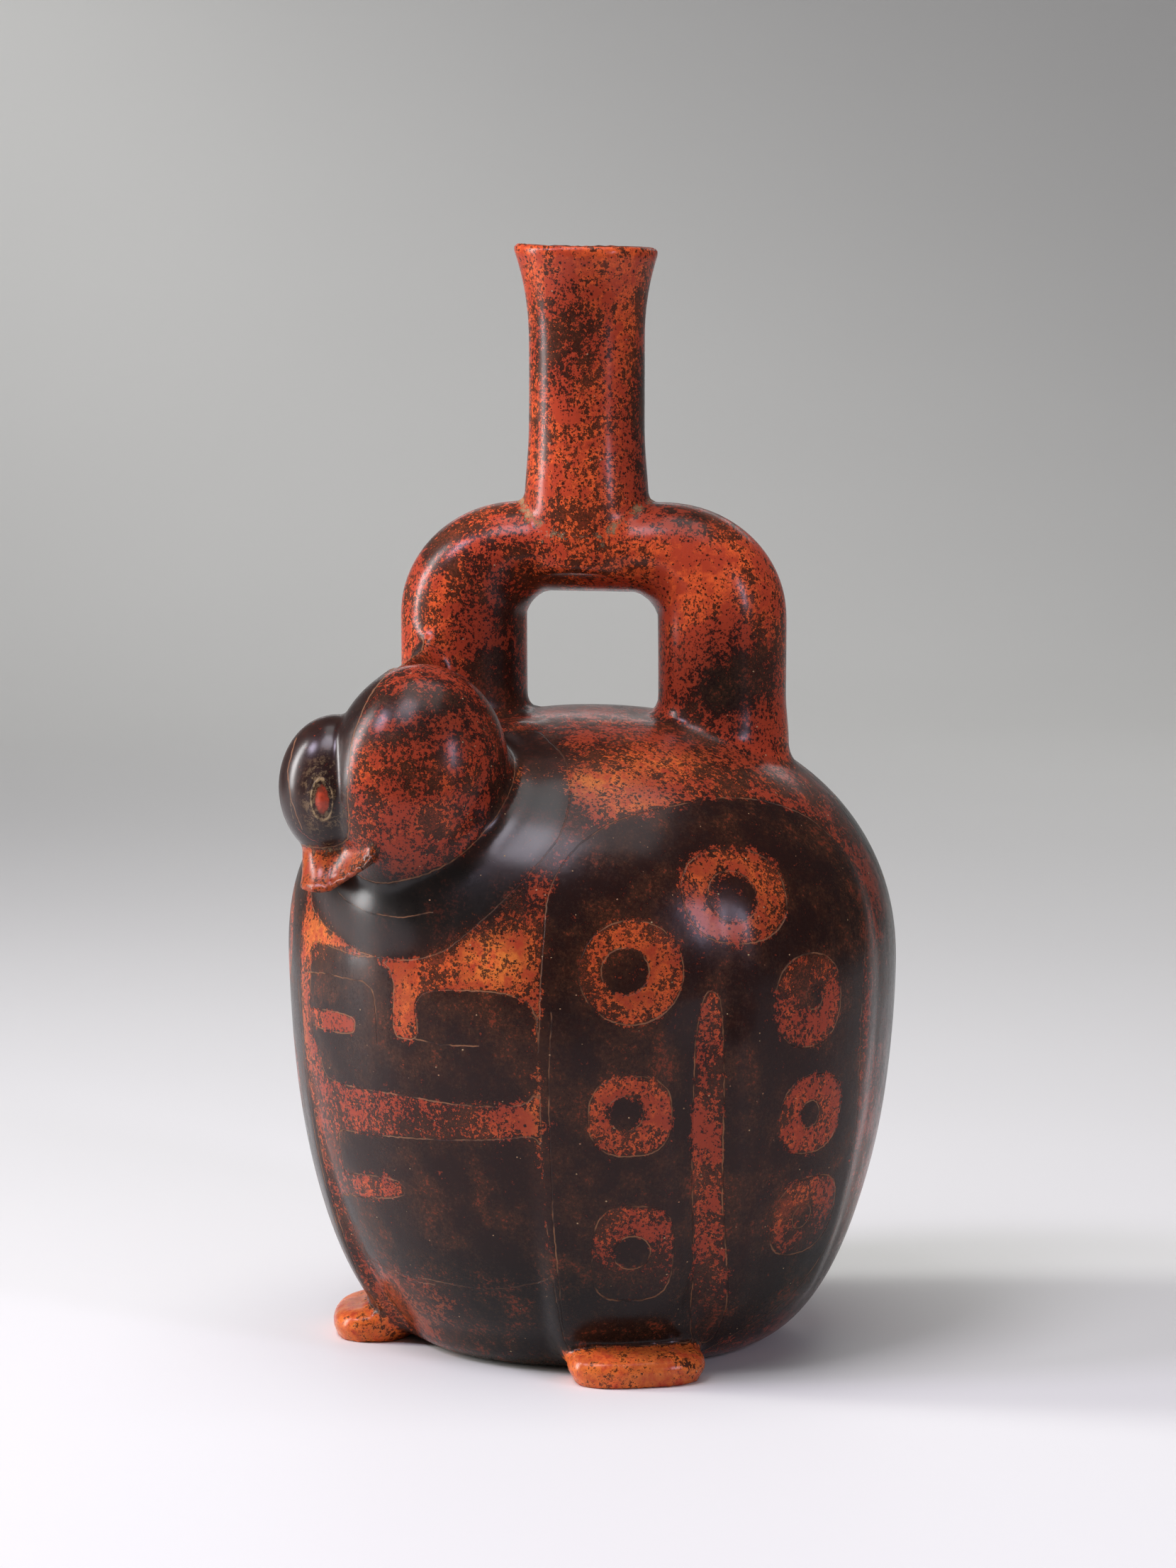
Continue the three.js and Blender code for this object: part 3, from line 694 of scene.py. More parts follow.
def slope_of(field, points, step=0.05):
    """The way a field grows at each point, and how fast."""
    parts = []
    for axis in np.eye(3):
        parts.append((field(points + axis * step) - field(points - axis * step)) / (2 * step))
    return np.stack(parts, -1)


def drawn_on(clay, points, rounds):
    """The points moved on to the clay's surface."""
    for _ in range(rounds):
        slope = slope_of(clay, points)
        steepness = np.maximum((slope ** 2).sum(-1), 0.25)
        move = slope * (clay(points) / steepness)[:, None]
        points = points - np.clip(move, -0.6, 0.6)
    return points


def clay_mesh(clay, low, high, cell):
    """The field's skin between two corners, drawn on to the true surface."""
    steps = np.ceil((high - low) / cell).astype(int) + 4
    axes = [low[i] + cell * (np.arange(steps[i]) - 1.6) for i in range(3)]
    origin = np.array([axis[0] for axis in axes])
    values = np.empty(steps)
    for k in range(0, steps[2], 16):
        grid = np.stack(np.meshgrid(axes[0], axes[1], axes[2][k:k + 16], indexing="ij"), -1)
        values[:, :, k:k + 16] = clay(grid)
    points, faces = surface_net(values, origin, cell)
    return drawn_on(clay, points, 3), faces


def quad_mesh(name, points, faces):
    mesh = bpy.data.meshes.new(name)
    mesh.vertices.add(len(points))
    mesh.vertices.foreach_set("co", points.astype(np.float32).ravel())
    mesh.loops.add(faces.size)
    mesh.loops.foreach_set("vertex_index", faces.astype(np.int32).ravel())
    mesh.polygons.add(len(faces))
    mesh.polygons.foreach_set("loop_start", np.arange(0, faces.size, 4, dtype=np.int32))
    mesh.update(calc_edges=True)
    return mesh


def mesh_points(mesh):
    found = np.empty(len(mesh.vertices) * 3, np.float32)
    mesh.vertices.foreach_get("co", found)
    return found.reshape(-1, 3).astype(float)


def linked(name, data):
    """A new object in the scene."""
    piece = bpy.data.objects.new(name, data)
    bpy.context.scene.collection.objects.link(piece)
    return piece


def evaluated_mesh(piece):
    """The piece's mesh with its modifiers applied. The piece itself goes."""
    graph = bpy.context.evaluated_depsgraph_get()
    mesh = bpy.data.meshes.new_from_object(piece.evaluated_get(graph))
    bpy.data.objects.remove(piece)
    return mesh


def finer_where(mesh, wanted):
    """Cuts the faces round the wanted points in four."""
    work = bmesh.new()
    work.from_mesh(mesh)
    work.verts.ensure_lookup_table()
    edges = [edge for edge in work.edges if all(wanted[vert.index] for vert in edge.verts)]
    bmesh.ops.subdivide_edges(work, edges=edges, cuts=1, use_grid_fill=True)
    work.to_mesh(mesh)
    work.free()


INSIDE_SKIN = 0.3  # millimetres from the hollow within which a point belongs to the inside
INSIDE_SHARE = 0.62  # share of all faces left once the inside is thinned


def thinned(mesh, wanted, share):
    """The mesh with fewer faces round the wanted points, and the same faces elsewhere."""
    piece = linked("thinned", mesh)
    group = piece.vertex_groups.new(name="inside")
    group.add([int(i) for i in np.flatnonzero(wanted)], 1.0, "REPLACE")
    modifier = piece.modifiers.new("thin", "DECIMATE")
    modifier.ratio = share
    modifier.vertex_group = group.name
    modifier.vertex_group_factor = 10
    return evaluated_mesh(piece)


def placed_piece(name, mesh, points, shift):
    """An object at the origin, with its place in its mesh. The points are about the vessel's middle."""
    mesh.name = name
    mesh.vertices.foreach_set("co", ((points + shift) * MILLI).astype(np.float32).ravel())
    mesh.polygons.foreach_set("use_smooth", np.ones(len(mesh.polygons), bool))
    mesh.update()
    return linked(name, mesh)


def keep_on(mesh, name, values):
    """Keeps a number for each point of the mesh, for its material to read."""
    held = mesh.attributes.new(name, "FLOAT", "POINT")
    held.data.foreach_set("value", values.astype(np.float32))


def middle_shift(size):
    """From the vessel's own middle to the frame's: the belly's back touches the box's far side."""
    return np.array([0.0, cad_high.y / MILLI - size.belly_radius, 0.0])


# The painted pattern. Borders are given as side angle in degrees and height in millimetres.

COLLAR = (
    (-30, 106), (-27, 101.8), (-15, 97.5), (-5, 94.5), (4.9, 94.7), (11.9, 97.2), (19.9, 105.2),
    (28.1, 115.3), (33.8, 123.2), (34.6, 132.4), (30.4, 138.2), (14, 142.1), (-22, 142), (-38, 138),
    (-43, 131), (-42, 123), (-36, 115))
CHEST = (
    (-25, 96), (-12, 94.5), (-1, 94), (1.5, 90), (0.6, 77.3), (7, 77.6), (5.8, 85.5), (8, 88.3), (13, 89.3),
    (23.6, 89.5), (28.5, 87.5), (30.1, 83.8), (30.3, 64.8), (17, 63.6), (0, 64.7), (-21, 64.3), (-23, 70),
    (-26, 76), (-25, 88))
CHEST_BAR = ((-27, 80.2), (-9.2, 81), (-9.5, 76.2), (-27, 76.1))
BELLY = (
    (-20, 53.5), (-11.8, 53.9), (2.6, 54.9), (19.8, 56.2), (30.4, 58.1), (30.5, 49), (31, 30.6), (31.6, 24),
    (15, 20), (0, 21), (-15, 21), (-27, 22), (-27.5, 37), (-22, 37.1), (-21, 45))
BELLY_BAR = ((-24, 42.8), (-2, 45.1), (-0.8, 40.3), (-24, 37.1))
LEG = (
    (34, 0), (31, 30), (30.5, 49), (30.3, 66), (30.5, 89), (31, 100), (31.5, 112), (36, 120), (44.7, 125.5),
    (56, 127.6), (72, 129.2), (87, 127.7), (98, 123.2), (104.2, 114.4), (103.2, 104.2), (99, 92), (98, 79),
    (99, 65), (100.8, 51.4), (103.3, 30.8), (97, 20), (88, 11), (76, 6), (68, 0))
SHIN_STRIP = (
    (61.5, 90), (59.5, 86.8), (59.3, 57.2), (60.5, 40), (63.6, 20.1), (65, 8), (74, 6), (70.6, 21.2),
    (66.5, 40), (65, 56.7), (63.9, 87.3))

# Dark ovals at the back: side, height, half width and half height
BACK_SPOTS = ((126, 116, 8, 11), (148, 84, 10, 12), (131, 50, 9, 10), (168, 118, 7, 9))

# Each ring: side, height, half width, half height and squareness; then its middle's side, height and radius
RINGS = (
    ((47, 94, 11.5, 11.4, 2.0), (45.8, 94.3, 5.2)),
    ((47, 62.3, 9.2, 9.0, 2.6), (46, 63, 4.0)),
    ((48.3, 30.5, 9.0, 11.8, 3.2), (48, 31, 4.1)),
    ((68.2, 109.5, 12.8, 10.8, 2.3), (67.3, 109.2, 5.9)),
    ((82.7, 85.3, 10.2, 10.3, 2.3), (83.7, 85.8, 2.7)),
    ((85, 59.6, 9.9, 9.1, 2.4), (84.2, 59.6, 3.1)),
    ((88, 35.6, 10.6, 9.5, 2.5), (86.8, 35.7, 3.0)),
)

# Incised lines that aren't a border of the paint
CUTS = (
    ((-26, 88), (-18, 89), (-11.8, 88.8), (-6.5, 88.9), (-4, 87.2), (-3.4, 83), (-3.3, 76.5)),
    ((7, 77.6), (12, 77), (18.1, 77.3)),
    ((-19, 22), (-17, 20.4), (-9, 19.6), (-1.3, 19.8)),
    ((-14, 107.2), (-12, 106.2), (-4.8, 104.3), (3.2, 104.1), (8, 105.4)),
    ((33.2, 14), (32.2, 40), (32, 70), (32.6, 84)),
)

# The border of the dark face, on both sides of the head: along the face's direction, and up, from the
# head's middle
FACE_PAINT = (
    (24, -14.9), (19.6, -14.9), (15.5, -14.1), (13.3, -11.8), (12.7, -7.3), (13, -3.1), (12.5, 3.1),
    (12.2, 9.2), (11.4, 12.5), (9.4, 18.3), (7.4, 21.6), (3.8, 25.9), (10, 45), (45, 45), (45, -14.9))

# The incised line down the face, measured in the same way
FACE_CUT = ((24.8, -9.5), (26.8, -3.5), (27.6, 1.8), (26.6, 7.5))

# Parts with crust in the crease between them, and how strong it is; then how far it reaches
CRUSTED = (
    ("spout", "stirrup", 1.25), ("neck", "skull", 1.0), ("lip", "face", 0.45), ("lip", "skull", 0.45),
    ("feet", "body", 0.4), ("face", "skull", 0.3))
CRUST_REACH = 1.7

# Rubbed places: side, height, half width, half height and strength
RUBBED = (
    (22, 96, 9, 7, 0.9), (4, 86, 4, 9, 0.35), (18, 134, 14, 9, 0.9), (38, 133, 12, 7, 0.8),
    (24, 124, 7, 8, 0.6), (60, 136, 16, 5, 0.45), (47, 94, 10, 12, 0.25), (68, 109, 12, 12, 0.35),
    (50, 128, 10, 4, 0.5), (35, 10, 20, 7, 0.35), (0, 12, 24, 9, 0.45), (84, 36, 11, 10, 0.3),
    (30, 70, 3, 30, 0.4))

# Places where the paint's borders dissolve: side, height, half width, half height and strength
SOFT = (
    (36, 118, 9, 12, 1.0), (50, 126, 14, 5, 0.8), (72, 117, 12, 6, 0.8), (60, 108, 7, 8, 0.8),
    (86, 124, 12, 6, 0.7), (31, 100, 3, 12, 0.6), (28, 60, 6, 10, 0.5), (84, 36, 12, 12, 0.5),
    (83, 86, 14, 12, 0.35), (20, 22, 25, 5, 1.0), (60, 12, 40, 8, 0.9), (102, 80, 5, 50, 0.9),
    (14, 48, 12, 8, 0.5))

# Darkened places: smoke clouding, darker patches low on the body, and painted shade in the rows at
# (8, -66, 109) under the head, (24, -48, 122) down the head's lower right side and (54, 44, 92) on the flank
# turned from the key light. Columns: x, y and z about the vessel's middle, reach, reach upwards and strength
SMOKE_AND_SHADE = (
    (36, 2, 152, 17, 13, 0.8), (-13, -17, 158, 9, 16, 0.7), (-34, -22, 186, 11, 12, 0.45),
    (14, 8, 205, 9, 34, 0.75), (4, -13, 230, 10, 14, 0.3), (24, 6, 190, 11, 6, 0.6),
    (-10, -10, 182, 6, 8, 0.55), (4, -62, 147, 16, 8, 0.7), (24, -48, 122, 10, 24, 0.75),
    (-12, -74, 128, 6, 14, 0.5), (8, -66, 109, 22, 8, 0.95), (9, -72, 137, 7, 6, 0.3),
    (8, -36, 137, 22, 10, 0.35), (54, 44, 92, 24, 46, 0.95), (20, -44, 12, 36, 16, 0.9),
    (52, 10, 20, 26, 16, 0.7), (-30, 50, 60, 40, 50, 0.5), (-45, -25, 40, 26, 40, 0.5))


def border_distance(across, up, corners_across, corners_up, closed=True):
    """Distance to a border, above 0 inside it; and to an open line, with the side it lies on as the sign."""
    nearest = np.full(across.shape, 1e9)
    side = np.zeros(across.shape)
    inside = np.zeros(across.shape, bool)
    count = len(corners_up)
    for i in range(count if closed else count - 1):
        j = (i + 1) % count
        ax, ay, bx, by = corners_across[i], corners_up[i], corners_across[j], corners_up[j]
        ex, ey = bx - ax, by - ay
        share = np.clip(((across - ax) * ex + (up - ay) * ey) / np.maximum(ex * ex + ey * ey, 1e-9), 0, 1)
        gap = np.hypot(across - ax - ex * share, up - ay - ey * share)
        turned = ((across - ax) * ey - (up - ay) * ex) / np.maximum(np.hypot(ex, ey), 1e-9)
        closer = gap < nearest
        side = np.where(closer, turned, side)
        nearest = np.where(closer, gap, nearest)
        crosses = (ay > up) != (by > up)
        reach = ax + ex * (up - ay) / np.where(np.abs(ey) > 1e-9, ey, 1e-9)
        inside ^= crosses & (across < reach)
    if closed:
        return np.where(inside, nearest, -nearest)
    return side, nearest


def rounded(corners, rounds=2):
    """A border with its corners cut back, round after round."""
    points = np.array(corners, float)
    for _ in range(rounds):
        after = np.roll(points, -1, 0)
        points = np.stack([points * 0.8 + after * 0.2, points * 0.2 + after * 0.8], 1).reshape(-1, 2)
    return points


class Paint:
    """Which slip lies where, how worn it is, and where the lines run."""

    LIMIT = 5.0

    def __init__(self, clay, points):
        self.clay = clay
        self.size = clay.size
        self.points = points
        self.part = clay.parts(points)
        self.radius = np.hypot(points[:, 0], points[:, 1])
        self.side = np.degrees(np.arctan2(points[:, 0], -points[:, 1]))
        self.up = clay.outline.run(points[:, 2])

    def _flat(self, side, corners):
        """Side angles and heights laid flat on the body, in millimetres."""
        across = np.radians(side) * self.radius
        corners = np.asarray(corners, float)
        over = [np.radians(corner) * self.radius for corner in corners[:, 0]]
        return across, over, self.clay.outline.run(corners[:, 1])

    def zone(self, corners, both_sides=False):
        side = np.abs(self.side) if both_sides else self.side
        across, over, up = self._flat(side, rounded(corners))
        return border_distance(across, self.up, over, up)

    def from_middle(self, side, height, half_width, half_height):
        """Place across and up from the middle of a spot on either flank, in its half sizes."""
        across = (np.abs(self.side) - side) * np.radians(self.radius) / half_width
        return across, (self.up - self.clay.outline.run(height)) / half_height

    def oval(self, middle, height, half_width, half_height, squareness):
        """Distance inside a rounded shape on either flank, above 0 within it."""
        across, up = self.from_middle(middle, height, half_width, half_height)
        level = (np.abs(across) ** squareness + np.abs(up) ** squareness) ** (1 / squareness)
        return (1 - level) * min(half_width, half_height)

    def body_dark(self):
        ring = np.full(self.radius.shape, -self.LIMIT)
        for shape, (side, height, radius) in RINGS:
            annulus = np.minimum(self.oval(*shape), -self.oval(side, height, radius, radius, 2))
            ring = np.maximum(ring, annulus)
        strip = self.zone(SHIN_STRIP, both_sides=True)
        leg = np.minimum(np.minimum(self.zone(LEG, both_sides=True), -strip), -ring)
        chest = np.minimum(self.zone(CHEST), -self.zone(CHEST_BAR))
        belly = np.minimum(self.zone(BELLY), -self.zone(BELLY_BAR))
        dark = np.maximum(np.maximum(leg, chest), belly)
        for side, height, half_width, half_height in BACK_SPOTS:
            dark = np.maximum(dark, self.oval(side, height, half_width, half_height, 2.2))
        return dark, self.zone(COLLAR)

    def strongest(self, places, least):
        """At each point, the strongest of some soft spots on the flanks."""
        found = least
        for *place, strength in places:
            across, up = self.from_middle(*place)
            found = np.maximum(found, strength * np.exp(-(across ** 2 + up ** 2)))
        return found

    def softness(self, collar):
        """How far the paint's borders dissolve: 0 crisp, 1 soft."""
        return self.strongest(SOFT, smoothstep(-4, -1, collar) * smoothstep(2, 14, self.side))

    def smoke_and_shade(self):
        """How far smoke darkens the clay, from 0 to 1, with painted shade under the head and on one flank."""
        smoke_and_shade = np.zeros(self.radius.shape)
        for x, y, z, reach, tall, strength in SMOKE_AND_SHADE:
            away = np.hypot(self.points[:, 0] - x, self.points[:, 1] - y) / reach
            away = np.hypot(away, (self.points[:, 2] - z) / tall)
            smoke_and_shade = np.maximum(smoke_and_shade, strength * np.exp(-(away ** 2)))
        return smoke_and_shade

    def crust(self, on_tube):
        """How much pale crust has settled in the creases between parts."""
        size, part = self.size, self.part
        crust = np.zeros(self.radius.shape)
        for one, other, strength in CRUSTED:
            gap = np.abs(part[one]) + np.abs(part[other])
            crust = np.maximum(crust, strength * np.exp(-(gap / CRUST_REACH) ** 2))
        above = self.points[:, 2] - size.body_height - size.bridge_rise
        return np.where(on_tube, crust * smoothstep(-3, 5, above), crust)

    def eyes(self):
        """Place across and up from the nearest eye's middle, in its half sizes, and far out elsewhere."""
        size = self.size
        far = 3.0
        eye_across = np.full(self.radius.shape, far)
        eye_rise = np.full(self.radius.shape, far)
        for hand in (1, -1):
            centre, out = self.clay.head.eye_place(size, hand)
            across = (self.points - centre) @ np.cross(UP, out) / size.eye_half_width
            rise = (self.points - centre) @ UP / size.eye_half_height
            near_eye = (np.abs((self.points - centre) @ out) < 4) & (np.hypot(across, rise) < far)
            eye_across = np.where(near_eye, across, eye_across)
            eye_rise = np.where(near_eye, rise, eye_rise)
        return eye_across, eye_rise

    def nearest(self, *names):
        """Distance to the nearest of some parts."""
        return np.minimum.reduce([np.abs(self.part[name]) for name in names])

    def head_place(self):
        """Place along the face's direction, and up, from the head's middle."""
        away = self.points - self.clay.head.centre
        return away @ self.clay.head.ahead, away[:, 2]

    def cuts(self):
        """Side of, and distance to, the nearest of the extra incised lines."""
        side = np.full(self.radius.shape, self.LIMIT)
        near = np.full(self.radius.shape, 1e9)
        for corners in CUTS:
            around = np.abs(self.side) if corners[0][0] > 30 else self.side
            across, over, up = self._flat(around, corners)
            turned, gap = border_distance(across, self.up, over, up, closed=False)
            side = np.where(gap < near, turned, side)
            near = np.minimum(near, gap)
        return side, near

    def fields(self):
        """Every number that the finish reads, for each point. Paint is held to the part that it lies on."""
        part = self.part
        depth = self.clay.hollow(self.points)
        nearest = np.minimum.reduce([np.abs(value) for value in part.values()])
        on = {name: np.abs(value) <= nearest + 1e-6 for name, value in part.items()}
        plain = depth > 0.6
        on_body = on["body"] & plain
        on_head = (on["skull"] | on["face"] | on["neck"]) & plain
        body_seam = (self.nearest(*[name for name in part if name != "body"]) - self.nearest("body")) * 0.7
        head_seam = self.nearest("body", "stirrup", "spout", "feet", "lip")
        head_seam = head_seam - self.nearest("skull", "face", "neck")
        dark, collar = self.body_dark()
        ahead, up = self.head_place()
        corners = rounded(FACE_PAINT, 1)
        face = border_distance(ahead, up, corners[:, 0], corners[:, 1])
        slip = np.minimum(np.maximum(dark, collar), body_seam + 0.4)
        slip = np.maximum(slip, np.minimum(face, head_seam * 0.7 + 0.4))
        slip = np.where(plain, slip, -self.LIMIT)
        cut, near = self.cuts()
        head_cut, head_near = border_distance(ahead, up, *zip(*FACE_CUT), closed=False)
        cut = np.where(on_head, head_cut, np.where(on_body, cut, self.LIMIT))
        near = np.where(on_head, head_near, np.where(on_body, near, self.LIMIT))
        on_tube = on["stirrup"] | on["spout"]
        rub = self.strongest(RUBBED, np.zeros(self.radius.shape))
        eye_across, eye_rise = self.eyes()
        gloss = np.where(on_body, smoothstep(-1, 3, collar), 0)
        gloss = np.where(on_head, smoothstep(-1, 3, face), gloss)
        # Grains keep off the eyes and off the outermost skin, so that none stands out of the vessel's box
        inner = np.abs(self.points[:, :2]).max(axis=1) < self.size.belly_radius - 0.6
        between = (self.points[:, 2] > 2) & (self.points[:, 2] < 246)
        bed = plain & inner & between & (np.hypot(eye_across, eye_rise) > 1.3)
        return {
            "grain_bed": bed * (0.5 + on_head * 1.5),
            "slip": np.clip(slip, -self.LIMIT, self.LIMIT),
            "soft_border": np.where(on_body, self.softness(collar), 0),
            "head": on_head.astype(float),
            "cut": np.clip(cut, -self.LIMIT, self.LIMIT),
            "cut_near": np.minimum(near, self.LIMIT),
            "rubbed": np.where(on_body, rub, 0),
            # Smoke darkening; under the head and on the flank turned from the key light it is painted shade
            "smoke_and_shade": np.where(on["feet"], 0, self.smoke_and_shade()),
            "eye_across": eye_across,
            "eye_rise": eye_rise,
            "crust": self.crust(on_tube),
            "gloss": gloss,
            "hollow": smoothstep(1.4, 0.2, depth),
            "tube": on_tube.astype(float),
            "feet": on["feet"] + 0.6 * on["lip"],
        }


# Finishes

def math_node(operation, reflected=False):
    """A method of Wire that adds one Math node."""

    def add(self, *others):
        terms = (*others, self) if reflected else (self, *others)
        values = dict(enumerate(terms))
        return self.finish.node("ShaderNodeMath", {"operation": operation}, values)["Value"]

    return add


class Wire:
    """A socket that takes part in sums. Each operator adds the Math node that it stands for."""

    def __init__(self, finish, socket):
        self.finish = finish
        self.socket = socket

    __add__, __radd__ = math_node("ADD"), math_node("ADD", reflected=True)
    __sub__, __rsub__ = math_node("SUBTRACT"), math_node("SUBTRACT", reflected=True)
    __mul__, __rmul__ = math_node("MULTIPLY"), math_node("MULTIPLY", reflected=True)
    __truediv__, __rtruediv__ = math_node("DIVIDE"), math_node("DIVIDE", reflected=True)
    __abs__ = math_node("ABSOLUTE")
    root = math_node("SQRT")
    least = math_node("MINIMUM")
    most = math_node("MAXIMUM")


def socket_named(sockets, name):
    """A socket by its identifier, or else by its name."""
    for socket in sockets:
        if socket.identifier == name:
            return socket
    return sockets[name]


class Outputs:
    """A node's outputs, ready for sums."""

    def __init__(self, finish, node):
        self.finish = finish
        self.node = node

    def __getitem__(self, name):
        return Wire(self.finish, socket_named(self.node.outputs, name))


class Nodes:
    """A tree of nodes under way."""

    def __init__(self, tree):
        self.tree = tree

    def node(self, kind, chosen, values):
        """A node of a type, with its settings first and then its sockets' values or links."""
        node = self.tree.nodes.new(kind)
        for name, value in chosen.items():
            setattr(node, name, value)
        for name, value in values.items():
            socket = node.inputs[name] if isinstance(name, int) else socket_named(node.inputs, name)
            if isinstance(value, Wire):
                self.tree.links.new(value.socket, socket)
            else:
                socket.default_value = value
        return Outputs(self, node)


class Finish(Nodes):
    """A material under way."""

    def __init__(self, name):
        self.material = bpy.data.materials.new(name)
        self.material.use_nodes = True
        super().__init__(self.material.node_tree)
        self.tree.nodes.clear()

    def kept(self, name):
        """A number kept on the mesh."""
        return self.node("ShaderNodeAttribute", {"attribute_name": name}, {})["Fac"]

    def place(self, stretch=(1, 1, 1)):
        """The place on the object, in millimetres."""
        at = self.node("ShaderNodeTexCoord", {}, {})["Object"]
        scale = tuple(part / MILLI for part in stretch)
        chosen = {"operation": "MULTIPLY"}
        return self.node("ShaderNodeVectorMath", chosen, {0: at, 1: scale})["Vector"]

    def dots(self, at, size):
        """Distance to the middle of the nearest dot, and a random number for that dot."""
        node = self.node("ShaderNodeTexVoronoi", {}, {"Vector": at, "Scale": 1 / size})
        return node["Distance"], node["Color"] * 1.0

    def noise(self, at, size, detail=2.0, roughness=0.5):
        """Noise whose patches are about that many millimetres wide."""
        values = {"Vector": at, "Scale": 1 / size, "Detail": detail, "Roughness": roughness}
        return self.node("ShaderNodeTexNoise", {}, values)["Fac"]

    def step(self, value, start, end):
        """0 below the start, 1 above the end, and smooth between."""
        chosen = {"interpolation_type": "SMOOTHSTEP"}
        values = {"Value": value, "From Min": start, "From Max": end}
        return self.node("ShaderNodeMapRange", chosen, values)["Result"]

    def blend(self, mask, under, over):
        """One colour over another where the mask is 1."""
        values = {"Factor_Float": mask, "A_Color": self._colour(under), "B_Color": self._colour(over)}
        return self.node("ShaderNodeMix", {"data_type": "RGBA"}, values)["Result_Color"]

    @staticmethod
    def _colour(value):
        return value if isinstance(value, Wire) else (*value, 1)

    def shaded(self, values):
        """The material, with a Principled shader that has these values."""
        shader = self.node("ShaderNodeBsdfPrincipled", {}, values)["BSDF"]
        self.node("ShaderNodeOutputMaterial", {}, {"Surface": shader})
        return self.material


# The numbers kept on the vessel's mesh that its finish reads
KEPT = (
    "slip", "cut", "cut_near", "rubbed", "crust", "gloss", "hollow", "tube", "feet", "soft_border", "smoke_and_shade",
    "eye_across", "eye_rise", "head")


def slip_cover(skin, at, on, noise):
    """How much of the red the dark slip covers, and where its grains lie."""
    plain_body = 1 - (on.tube + on.feet + on.head * 0.5 + on.rubbed).least(1.0)
    crisp = skin.step(skin.noise(at, 17, 2), 0.42, 0.56)
    ragged = (1.2 - crisp * 0.8) * (1 + on.soft_border * 1.1)
    border = on.slip + ((noise.medium - 0.5) * 4.0 + (noise.fine - 0.5) * 4.5) * ragged
    painted = skin.step(border / (0.7 + on.soft_border * 2.6), -1, 1)
    patches = (noise.broad - 0.5) * 1.3 + (noise.wide - 0.5) * 0.9 + (noise.strokes - 0.5) * 0.5
    # Smoke darkening, painted shade under the head and on one flank, thickens the dark speckle on the red
    red_cover = 0.43 + plain_body * 0.09 + patches + on.smoke_and_shade * 0.42 - on.rubbed * 0.20 - on.feet * 0.22
    dark_cover = 0.98 + patches * 0.3 - on.rubbed * 0.3
    cover = (red_cover + (dark_cover - red_cover) * painted).most(0.04).least(1.05)

    grown = (noise.fine - 0.5) + (noise.medium - 0.5) * 0.62 + (cover - 0.5) * 0.42
    speckle = skin.step(grown, -0.028, 0.028)
    dot, chance = skin.dots(at, 0.8)
    small = 1 - skin.step(dot + (noise.fine - 0.5) * 0.6, 0.16, 0.30)
    small = small * skin.step(chance + cover * 0.5, 0.60, 0.66)
    dot, chance = skin.dots(at, 1.7)
    large = 1 - skin.step(dot + (noise.fine - 0.5) * 0.8, 0.14, 0.26)
    large = large * skin.step(chance + cover * 0.6, 0.66, 0.72)
    return plain_body, cover, speckle.most(small.most(large) * (1 - on.feet * 0.6))


def slip_colour(skin, on, noise, tones, plain_body, cover, speckle):
    """The red and the dark slip, each with its own unevenness, and the bare clay inside."""
    # Smoke darkening, painted shade under the head and on one flank, dims the red here and below
    glow = noise.medium + (noise.broad - 0.5) * 1.2 - on.smoke_and_shade * 0.3 - on.head * 0.05
    red = skin.blend(skin.step(glow, 0.36, 0.66), tones.red_slip, tones.orange_slip)
    worn = (on.rubbed + on.feet * 0.55) * skin.step(noise.medium, 0.3, 0.62)
    red = skin.blend(worn, red, tones.ochre_wear)
    shade = on.smoke_and_shade * 0.75 + skin.step(cover, 0.5, 1.0) * 0.3 + plain_body * 0.3
    red = skin.blend(shade.least(1.0), red, tones.umber_slip)

    thin = skin.step(noise.broad + (noise.fine - 0.5) * 0.9, 0.42, 0.72)
    dark = skin.blend(thin, tones.dark_slip, tones.umber_slip)
    glints = skin.step(noise.fine + (noise.broad - 0.5) * 0.8 + on.soft_border * 0.06, 0.62, 0.74)
    dark = skin.blend(glints * 0.32, dark, tones.red_slip)
    dark = skin.blend(on.gloss * 0.75, dark, tones.dark_slip)

    colour = skin.blend(speckle * 0.94, red, dark)
    bare = skin.blend(skin.step(noise.fine, 0.42, 0.62), tones.bare_clay, tones.bare_shade)
    return skin.blend(on.hollow, colour, bare)


def incised_lines(skin, at, on, tones):
    """Where the lines are cut, and where pale clay shows in them: they fade here and there."""
    width = tones.line_width / MILLI
    wobble = (skin.noise(at, 1.6, 1) - 0.5) * 0.5
    on_border = 1 - skin.step(abs(on.slip + wobble), width * 0.5, width * 1.4)
    on_cut = 1 - skin.step(abs(on.cut + wobble), width * 0.5, width * 1.4)
    line = on_border.most(on_cut * (1 - skin.step(on.cut_near, 1.2, 1.6)))
    shown = skin.step(skin.noise(at, 6.5, 3), 0.42, 0.58).most(on.head * 0.8) * (1 - on.soft_border * 0.8)
    return line, line * shown * 0.7


